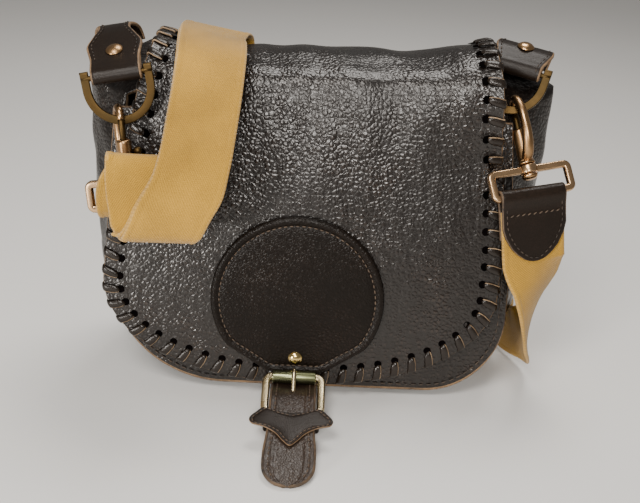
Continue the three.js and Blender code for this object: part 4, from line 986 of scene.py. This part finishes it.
class HooksMake(bpy.types.Operator):
    """Snap hooks with their sliding bolts, and the rectangular loops that turn on their stems"""
    bl_idname = "bag.hooks"
    bl_label = "Hooks"

    loop_half, loop_deep, loop_corner, loop_bar, loop_down = 24, 15, 2.4, 2.3, 3.2
    knob_up, slot_up, slot_half = 15, 11.5, 3.5
    spine = ((2.2, 3.5, 3.3), (7, 6.8, 3.3), (11.2, 13.6, 3.1), (13, 22.6, 2.8), (12.4, 31, 2.7),
             (9.6, 37.1, 2.6), (5.6, 39.9, 2.5), (1.9, 38.8, 2.3), (0.2, 36, 2.15), (0, 34, 2.1))
    stem = ((0, -9.6), (1.8, -9.5), (3.3, -9.1), (4.3, -8.3), (4.7, -7.3), (4.6, -6.5), (4.2, -6.1),
            (2.2, -6.0), (2.2, -0.1), (4.4, -0.05), (5.0, 0.3), (5.1, 1.0), (4.8, 1.6), (4.4, 1.9),
            (4.5, 2.3), (4.6, 2.7), (4.4, 3.1), *((BARREL, 4 + 0.45 * k) for k in range(37)),
            (BARREL, 20.9), (4.15, 21.4), (3.6, 21.95), (2.6, 22), (2.45, 21.7), (0, 21.5))
    shank = ((0, 10), (1.95, 10), (1.95, 33.2), (1.7, 33.6), (0, 33.6))
    button = ((0, 0), (1.15, 0), (1.15, 5.2), (1.7, 5.4), (2.4, 6.2), (2.55, 7.4), (2.4, 8.6), (1.7, 9.5),
              (0.8, 9.85), (0, 9.9))
    eye = ((2.6, -2.6), (4.7, -2.6), (5.2, -2.3), (5.35, -1.8), (5.35, 1.8), (5.2, 2.3), (4.7, 2.6),
           (2.6, 2.6))

    def barrel(self, knob):
        """Turned stem and barrel, pressed in along the slot that the bolt's knob runs in."""
        grid = lathe(self.stem, 60)
        f = np.arctan2(grid[..., 1], grid[..., 0]) - math.radians(knob)
        x = BARREL * np.abs((f + math.pi) % TURN - math.pi)
        z = grid[..., 2]
        far = np.maximum(np.abs(z - self.slot_up) - self.slot_half, 0)
        deep = 1 - 0.42 * ramp(2.0, 1.4, np.hypot(x, far)) * (z > 3.5) * (z < 20.5)
        return grid * np.stack([deep, deep, np.ones_like(deep)], -1)

    def execute(self, context):
        line = spline(self.spine, 6)
        crescent = bar(at_y0(line), Y_WAY, line[:, 2], 18)
        outline = rounded(self.loop_half, -self.loop_deep, 0, self.loop_corner, 8)
        frame_bar = bar(at_y0(outline), Y_WAY, self.loop_bar, joined=True,
                        ring=rounded(0.95, -0.95, 0.95, 0.5, 4))
        for side in SIDES:
            turn = CHAINS[side] @ matrix((0, 0, 0), ("Z", SPINES[side]))
            solid(f"{side}_hook_body", "copper_brass", moved(turn, self.barrel(KNOBS[side])),
                  moved(turn, crescent), replaces=[f"{side}_hook"], slot="copper_brass")
            knob = turn @ matrix((0, 0, 0), ("Z", KNOBS[side])) @ matrix((0, 0, self.knob_up), ("Y", 90))
            solid(f"{side}_bolt_pin", "old_brass", moved(turn, lathe(self.shank, 20)),
                  moved(knob, lathe(self.button, 20)), body=f"{side}_bolt", replaces=[f"{side}_bolt"],
                  slot="old_brass")
            at = CHAINS[side] @ matrix((0, 0, -self.loop_down))
            solid(f"{side}_loop_bar", "rose_brass", moved(at, frame_bar), moved(at, lathe(self.eye)),
                  replaces=[f"{side}_loop"], slot="pale_brass")
        return {"FINISHED"}


class StrapMake(bpy.types.Operator):
    """Shoulder strap of webbing, one loop from loop to loop, and the stitched leather end on its right"""
    bl_idname = "bag.strap"
    bl_label = "Shoulder strap"

    skins = ("webbing", "webbing_edge")
    per_span, wrap, thick = 8, 4.35, 2.2
    ply_t, ply_in, ply_under, ply_aside = 2.0, 0.4, 2.4, 1.3
    tab_half, tab_t, tab_bend, tab_sewn_in = 20.3, 1.8, 3.65, 3.0
    fold = (((-97.6, -50.3, 149), X_WAY), ((-96.5, -51.3, 156.6), X_WAY), ((-95.4, -54, 160.4), X_WAY),
            ((-95, -56.7, 157.5), X_WAY), ((-95.4, -57.8, 149.5), X_WAY), ((-94.8, -58.6, 138.5), X_WAY))
    curl = (((-92.3, -60.6, 127.6), X_WAY), ((-88.8, -65.5, 121.2), X_WAY), ((-85.5, -72, 119), X_WAY),
            ((-82, -79, 123.6), (1, 0, 0.04)), ((-74.2, -82.1, 139.6), (1, 0.02, 0.1)),
            ((-66.4, -80, 155.5), (1, 0.05, 0.15)), ((-62.9, -74, 168.4), (1, 0.05, 0.14)),
            ((-60.7, -61.2, 184.4), (1, 0.03, 0.1)), ((-59.2, -43.5, 202), (1, -0.03, 0.02)),
            ((-59.4, -23.2, 214.6), (0.98, -0.12, -0.08)), ((-61, -4, 219.2), (0.93, -0.22, -0.15)),
            ((-63, 14, 219), (0.88, -0.32, -0.17)))
    back = (((-63.5, 30, 217.5), (0.9, -0.3, -0.16)), ((-62.6, 43, 215), (0.96, -0.16, -0.1)),
            ((-61.6, 53, 207), X_WAY), ((-60.5, 55.6, 193), X_WAY),
            ((-57, 55.6, 174), (1, 0, 0.25)), ((-48, 55.4, 152), (1, 0, 0.5)),
            ((-30, 55, 124), (1, 0, 0.75)), ((0, 54.5, 92), (0.8, 0, 0.9)), ((35, 54, 64), (0.5, 0, 0.9)),
            ((72, 54, 42), (0.3, 0, 0.95)), ((100, 53.4, 30.5), (0.15, 0, 1)))
    side = (((119, 50, 25.5), (0.05, 0.12, 1)), ((134.5, 38.5, 22.5), (0.06, 0.3, 0.95)),
            ((141.5, 19, 22.5), (-0.05, 0.55, 0.8)), ((144.2, 3, 25.3), (-0.23, 0.86, 0.4)),
            ((145, -12, 31.4), (-0.17, 0.98, 0.08)), ((144.7, -22, 42.6), (0.07, 1, 0)),
            ((144.9, -29, 56.5), (0.34, 0.94, 0.02)), ((144, -35, 72.3), (0.59, 0.81, 0.06)),
            ((142, -39, 86.5), (0.79, 0.6, 0.1)))
    leaf = ((-41.4, 1.2), (-40.8, 4.2), (-39.5, 7.2), (-36, 11.6), (-32, 15), (-25, 18.7), (-19, 20.3),
            (10, 20.3))

    def rows(self):
        """Centre and width direction of the webbing, from the left loop round to the right loop."""
        bx, by, bz = moved(CHAINS["left"], np.array((0, 0, LOOP_BAR)))
        wrap, slope = self.wrap, turned(CHAINS["left"], X_WAY)
        start = (((bx, by + wrap, bz + 6), slope), ((bx, by + wrap, bz), slope), ((bx, by, bz - wrap), slope),
                 ((bx + 0.2, by - wrap, bz), slope),
                 ((bx + 0.8, by - wrap - 1.6, bz + 10), slope * (1, 0.5, 0.5)))
        end = tuple((moved(END, np.array((0, 0, z))), turned(END, X_WAY)) for z in (-42.5, -26, -9))
        whole = start + self.fold + self.curl + self.back + self.side + end
        centre, width = np.array(whole, float).swapaxes(0, 1)
        return centre, unit(width)

    def execute(self, context):
        sizes = context.scene.bag_sizes
        per, wide = self.per_span, sizes.strap_width / MM
        centre, ways = self.rows()
        points = spline(centre, per)
        k = np.arange(len(points)) / per
        width = np.stack([np.interp(k, np.arange(len(ways)), ways[:, c]) for c in range(3)], -1)
        edge = lambda u, at, sharp: np.exp(-((np.abs(u) - at) / sharp) ** 2)
        rope = lambda u: 0.28 * edge(u, 0.93, 0.05) - 0.2 * edge(u, 0.84, 0.03)
        shear = (ramp(8, 10, k) * (1 - ramp(13.5, 19, k)))[:, None]
        strap = band("webbing_strap", points, width, wide / 2, self.thick, self.skins, across=49, relief=rope,
                     shear=shear, replaces=["shoulder_strap"], slot="webbing")
        doubled = slice(6 * per + 4, 22 * per)
        run, ways = points[doubled], width[doubled]
        under = np.cross(unit(ways), tangents(run))
        under = under * np.sign(under[9 * per, 1])
        run = run + under * self.ply_under - ways * self.ply_aside
        band("webbing_ply", run, ways, wide / 2 - self.ply_in, self.ply_t, self.skins, across=25, relief=rope,
             shear=shear[doubled], slot="webbing")
        self.end_tab(sizes.stitch / MM)
        return {"FINISHED"}

    def end_tab(self, pitch):
        """Leather end folded over the right loop's lower bar: a pointed front leaf and a shorter back one."""
        f = np.radians((180, 135, 90, 45, 0))
        over = self.tab_bend * np.stack([np.cos(f), np.sin(f)], -1)
        line = np.concatenate([((-2.4, -41.2), (-2.4, -32), (-2.4, -21), (-2.6, -8)), over,
                               ((2.6, -8), (2.4, -19), (2.4, -27))])
        line = evenly(spline(line, 8, 0.5), 120)
        front = line[:, 0] < 0
        half = np.where(front, table(self.leaf, line[:, 1]), self.tab_half)
        band("end_tab_leather", moved(END, at_x(line)), turned(END, X_WAY), half, self.tab_t,
             ["smooth", "dark_edge"], across=24, replaces=["right_end_tab"])
        out = turned(END, -Y_WAY)
        pick = front & (line[:, 1] < -6) & (half > self.tab_sewn_in + 1)
        right = np.concatenate([half[pick, None] - self.tab_sewn_in, line[pick] + (-0.95, 1.5)], 1)
        path = moved(END, np.concatenate([right[::-1], right * (-1, 1, 1)]))
        stitches("end_tab_edge_stitches", path, out, pitch, "dark_thread", 0.65, 0.8)
        cross = moved(END, np.linspace(-16, 16, 30)[:, None] * X_WAY + (0, -3.5, -11.0))
        stitches("end_tab_cross_stitches", cross, out, pitch, "thread", slant=0.5)


class StageMake(bpy.types.Operator):
    """Pale floor, soft lights and the camera at the photograph's viewing angle"""
    bl_idname = "bag.stage"
    bl_label = "Stage"

    floor_half, floor_rows = 4, 41
    lights = (("key_light", (-0.25, -0.7, 1.1), 0.4, 9, (1, 0.97, 0.93)),
              ("front_light", (0.02, -0.95, 0.6), 0.2, 6, (1, 0.98, 0.95)),
              ("left_light", (-0.95, -1.25, 0.26), 0.3, 14, (1, 0.98, 0.95)),
              ("top_light", (0.15, 0.35, 1.2), 0.5, 9, (1, 0.98, 0.95)))
    lit = Vector((0, 0, 0.1))
    room, room_light = (1, 0.98, 0.95, 1), 0.2
    eye, aim = Vector((0.0073, -0.5233, 0.3365)), Vector((0.0073, -0.020, 0.091))
    lens, sensor, roll = 49.5, 36, 2.5

    def add(self, scene, name, data):
        """New object in the scene."""
        made = bpy.data.objects.new(name, data)
        scene.collection.objects.link(made)
        return made

    def execute(self, context):
        scene, rows = context.scene, self.floor_rows
        x, y = np.meshgrid(*[np.linspace(-self.floor_half, self.floor_half, rows)] * 2)
        rise = 0.9 * ramp(1.4, 3.8, np.hypot(x, y)) ** 2
        mesh = bpy.data.meshes.new("floor")
        verts = np.stack([x, y, rise], -1).reshape(-1, 3)
        mesh.from_pydata(verts.tolist(), [], quads_of(rows, rows).tolist())
        mesh.polygons.foreach_set("use_smooth", np.ones(len(mesh.polygons), dtype=bool))
        mesh.materials.append(finish("floor"))
        floor = self.add(scene, "floor", mesh)
        for name, at, size, power, tint in self.lights:
            light = bpy.data.lights.new(name, "AREA")
            light.energy, light.size, light.color = power, size, tint
            lamp = self.add(scene, name, light)
            lamp.location = at
            lamp.rotation_euler = (self.lit - Vector(at)).to_track_quat("-Z", "Y").to_euler()
        world = bpy.data.worlds.new("soft_room")
        world.use_nodes = True
        room = world.node_tree.nodes["Background"].inputs
        room["Color"].default_value, room["Strength"].default_value = self.room, self.room_light
        scene.world = world
        lens = bpy.data.cameras.new("camera")
        lens.sensor_width, lens.lens = self.sensor, self.lens
        camera = self.add(scene, "camera", lens)
        look = (self.aim - self.eye).to_track_quat("-Z", "Y").to_matrix().to_4x4()
        camera.matrix_world = Matrix.Translation(self.eye) @ look @ matrix((0, 0, 0), ("Z", self.roll))
        scene.camera = camera
        return {"FINISHED"}


# Settings and panel

class BagSizes(bpy.types.PropertyGroup):
    """Sizes of the details that a user may change"""
    strap_width: FloatProperty(name="Strap width", description="Width of the webbing",
                               default=0.04, unit="LENGTH")
    lace_pitch: FloatProperty(name="Lace pitch", description="Step from hole to hole along the flap's edge",
                              default=0.0116, unit="LENGTH")
    lace_width: FloatProperty(name="Lace width", description="Width of the thong",
                              default=0.0052, unit="LENGTH")
    stitch: FloatProperty(name="Stitch", description="Step of the stitches on patch, straps and tabs",
                          default=0.0036, unit="LENGTH")
    seam: FloatProperty(name="Seam stitch", description="Step of the stitches along the panels",
                        default=0.005, unit="LENGTH")
    grain: FloatProperty(name="Grain", description="Size of a pebble of the leather",
                         default=0.0026, unit="LENGTH")


def shade(name, text, value):
    """Colour setting."""
    return FloatVectorProperty(name=name, description=text, default=value, size=3, subtype="COLOR",
                               min=0, max=1)


class BagColours(bpy.types.PropertyGroup):
    """Colours of the bag's finishes"""
    leather: shade("Leather", "Pebbled leather of body and flap", (0.0085, 0.006, 0.0048))
    leather_rubbed: shade("Rubbed leather", "Pebbled leather where it is rubbed", (0.026, 0.0175, 0.013))
    patch: shade("Patch", "Fine leather of the round patch", (0.0085, 0.006, 0.0045))
    tab: shade("Tabs", "Smooth leather of tabs and keeper", (0.012, 0.0075, 0.005))
    tab_rubbed: shade("Rubbed tabs", "Smooth leather where it is rubbed", (0.026, 0.016, 0.0105))
    closure: shade("Closure", "Worn leather of the buckle strap", (0.024, 0.014, 0.009))
    lace: shade("Lace", "Thong laced over the flap's edge", (0.012, 0.008, 0.0055))
    edge: shade("Raw edge", "Cut edges of the leather", (0.3, 0.18, 0.09))
    thread: shade("Thread", "Sewing thread", (0.1, 0.065, 0.04))
    webbing: shade("Webbing", "Cotton of the shoulder strap", (0.56, 0.3, 0.03))
    old_brass: shade("Old brass", "D-rings, bolts and roller", (0.075, 0.045, 0.016))
    pale_brass: shade("Pale brass", "Buckle and prong", (0.68, 0.56, 0.34))
    rose_brass: shade("Rose brass", "Loops at the strap's ends", (0.62, 0.4, 0.22))
    copper_brass: shade("Copper brass", "Hooks and rivets", (0.48, 0.29, 0.14))
    floor: shade("Floor", "Pale floor", (0.78, 0.76, 0.73))


MAKERS = (StageMake, BodyMake, FlapMake, PatchMake, ClosureMake, HangersMake, HooksMake, StrapMake)


class BagPanel(bpy.types.Panel):
    """Lists the bag's makers and settings in the sidebar"""
    bl_idname = "VIEW3D_PT_leather_bag"
    bl_label = "Leather shoulder bag"
    bl_space_type = "VIEW_3D"
    bl_region_type = "UI"
    bl_category = "Bag"

    def draw(self, context):
        for maker in MAKERS:
            self.layout.operator(maker.bl_idname)
        for group in (context.scene.bag_sizes, context.scene.bag_colours):
            for name in group.__annotations__:
                self.layout.prop(group, name)


CLASSES = (BagSizes, BagColours, *MAKERS, BagPanel)


def register():
    """Adds the classes and the settings to Blender."""
    for item in CLASSES:
        bpy.utils.register_class(item)
    bpy.types.Scene.bag_sizes = PointerProperty(type=BagSizes)
    bpy.types.Scene.bag_colours = PointerProperty(type=BagColours)


def unregister():
    """Takes them out again."""
    del bpy.types.Scene.bag_sizes
    del bpy.types.Scene.bag_colours
    for item in reversed(CLASSES):
        bpy.utils.unregister_class(item)


def main():
    """Registers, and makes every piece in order."""
    register()
    bpy.ops.bag.stage()
    bpy.ops.bag.body()
    bpy.ops.bag.flap()
    bpy.ops.bag.patch()
    bpy.ops.bag.closure()
    bpy.ops.bag.hangers()
    bpy.ops.bag.hooks()
    bpy.ops.bag.strap()


if __name__ == "__main__":
    main()
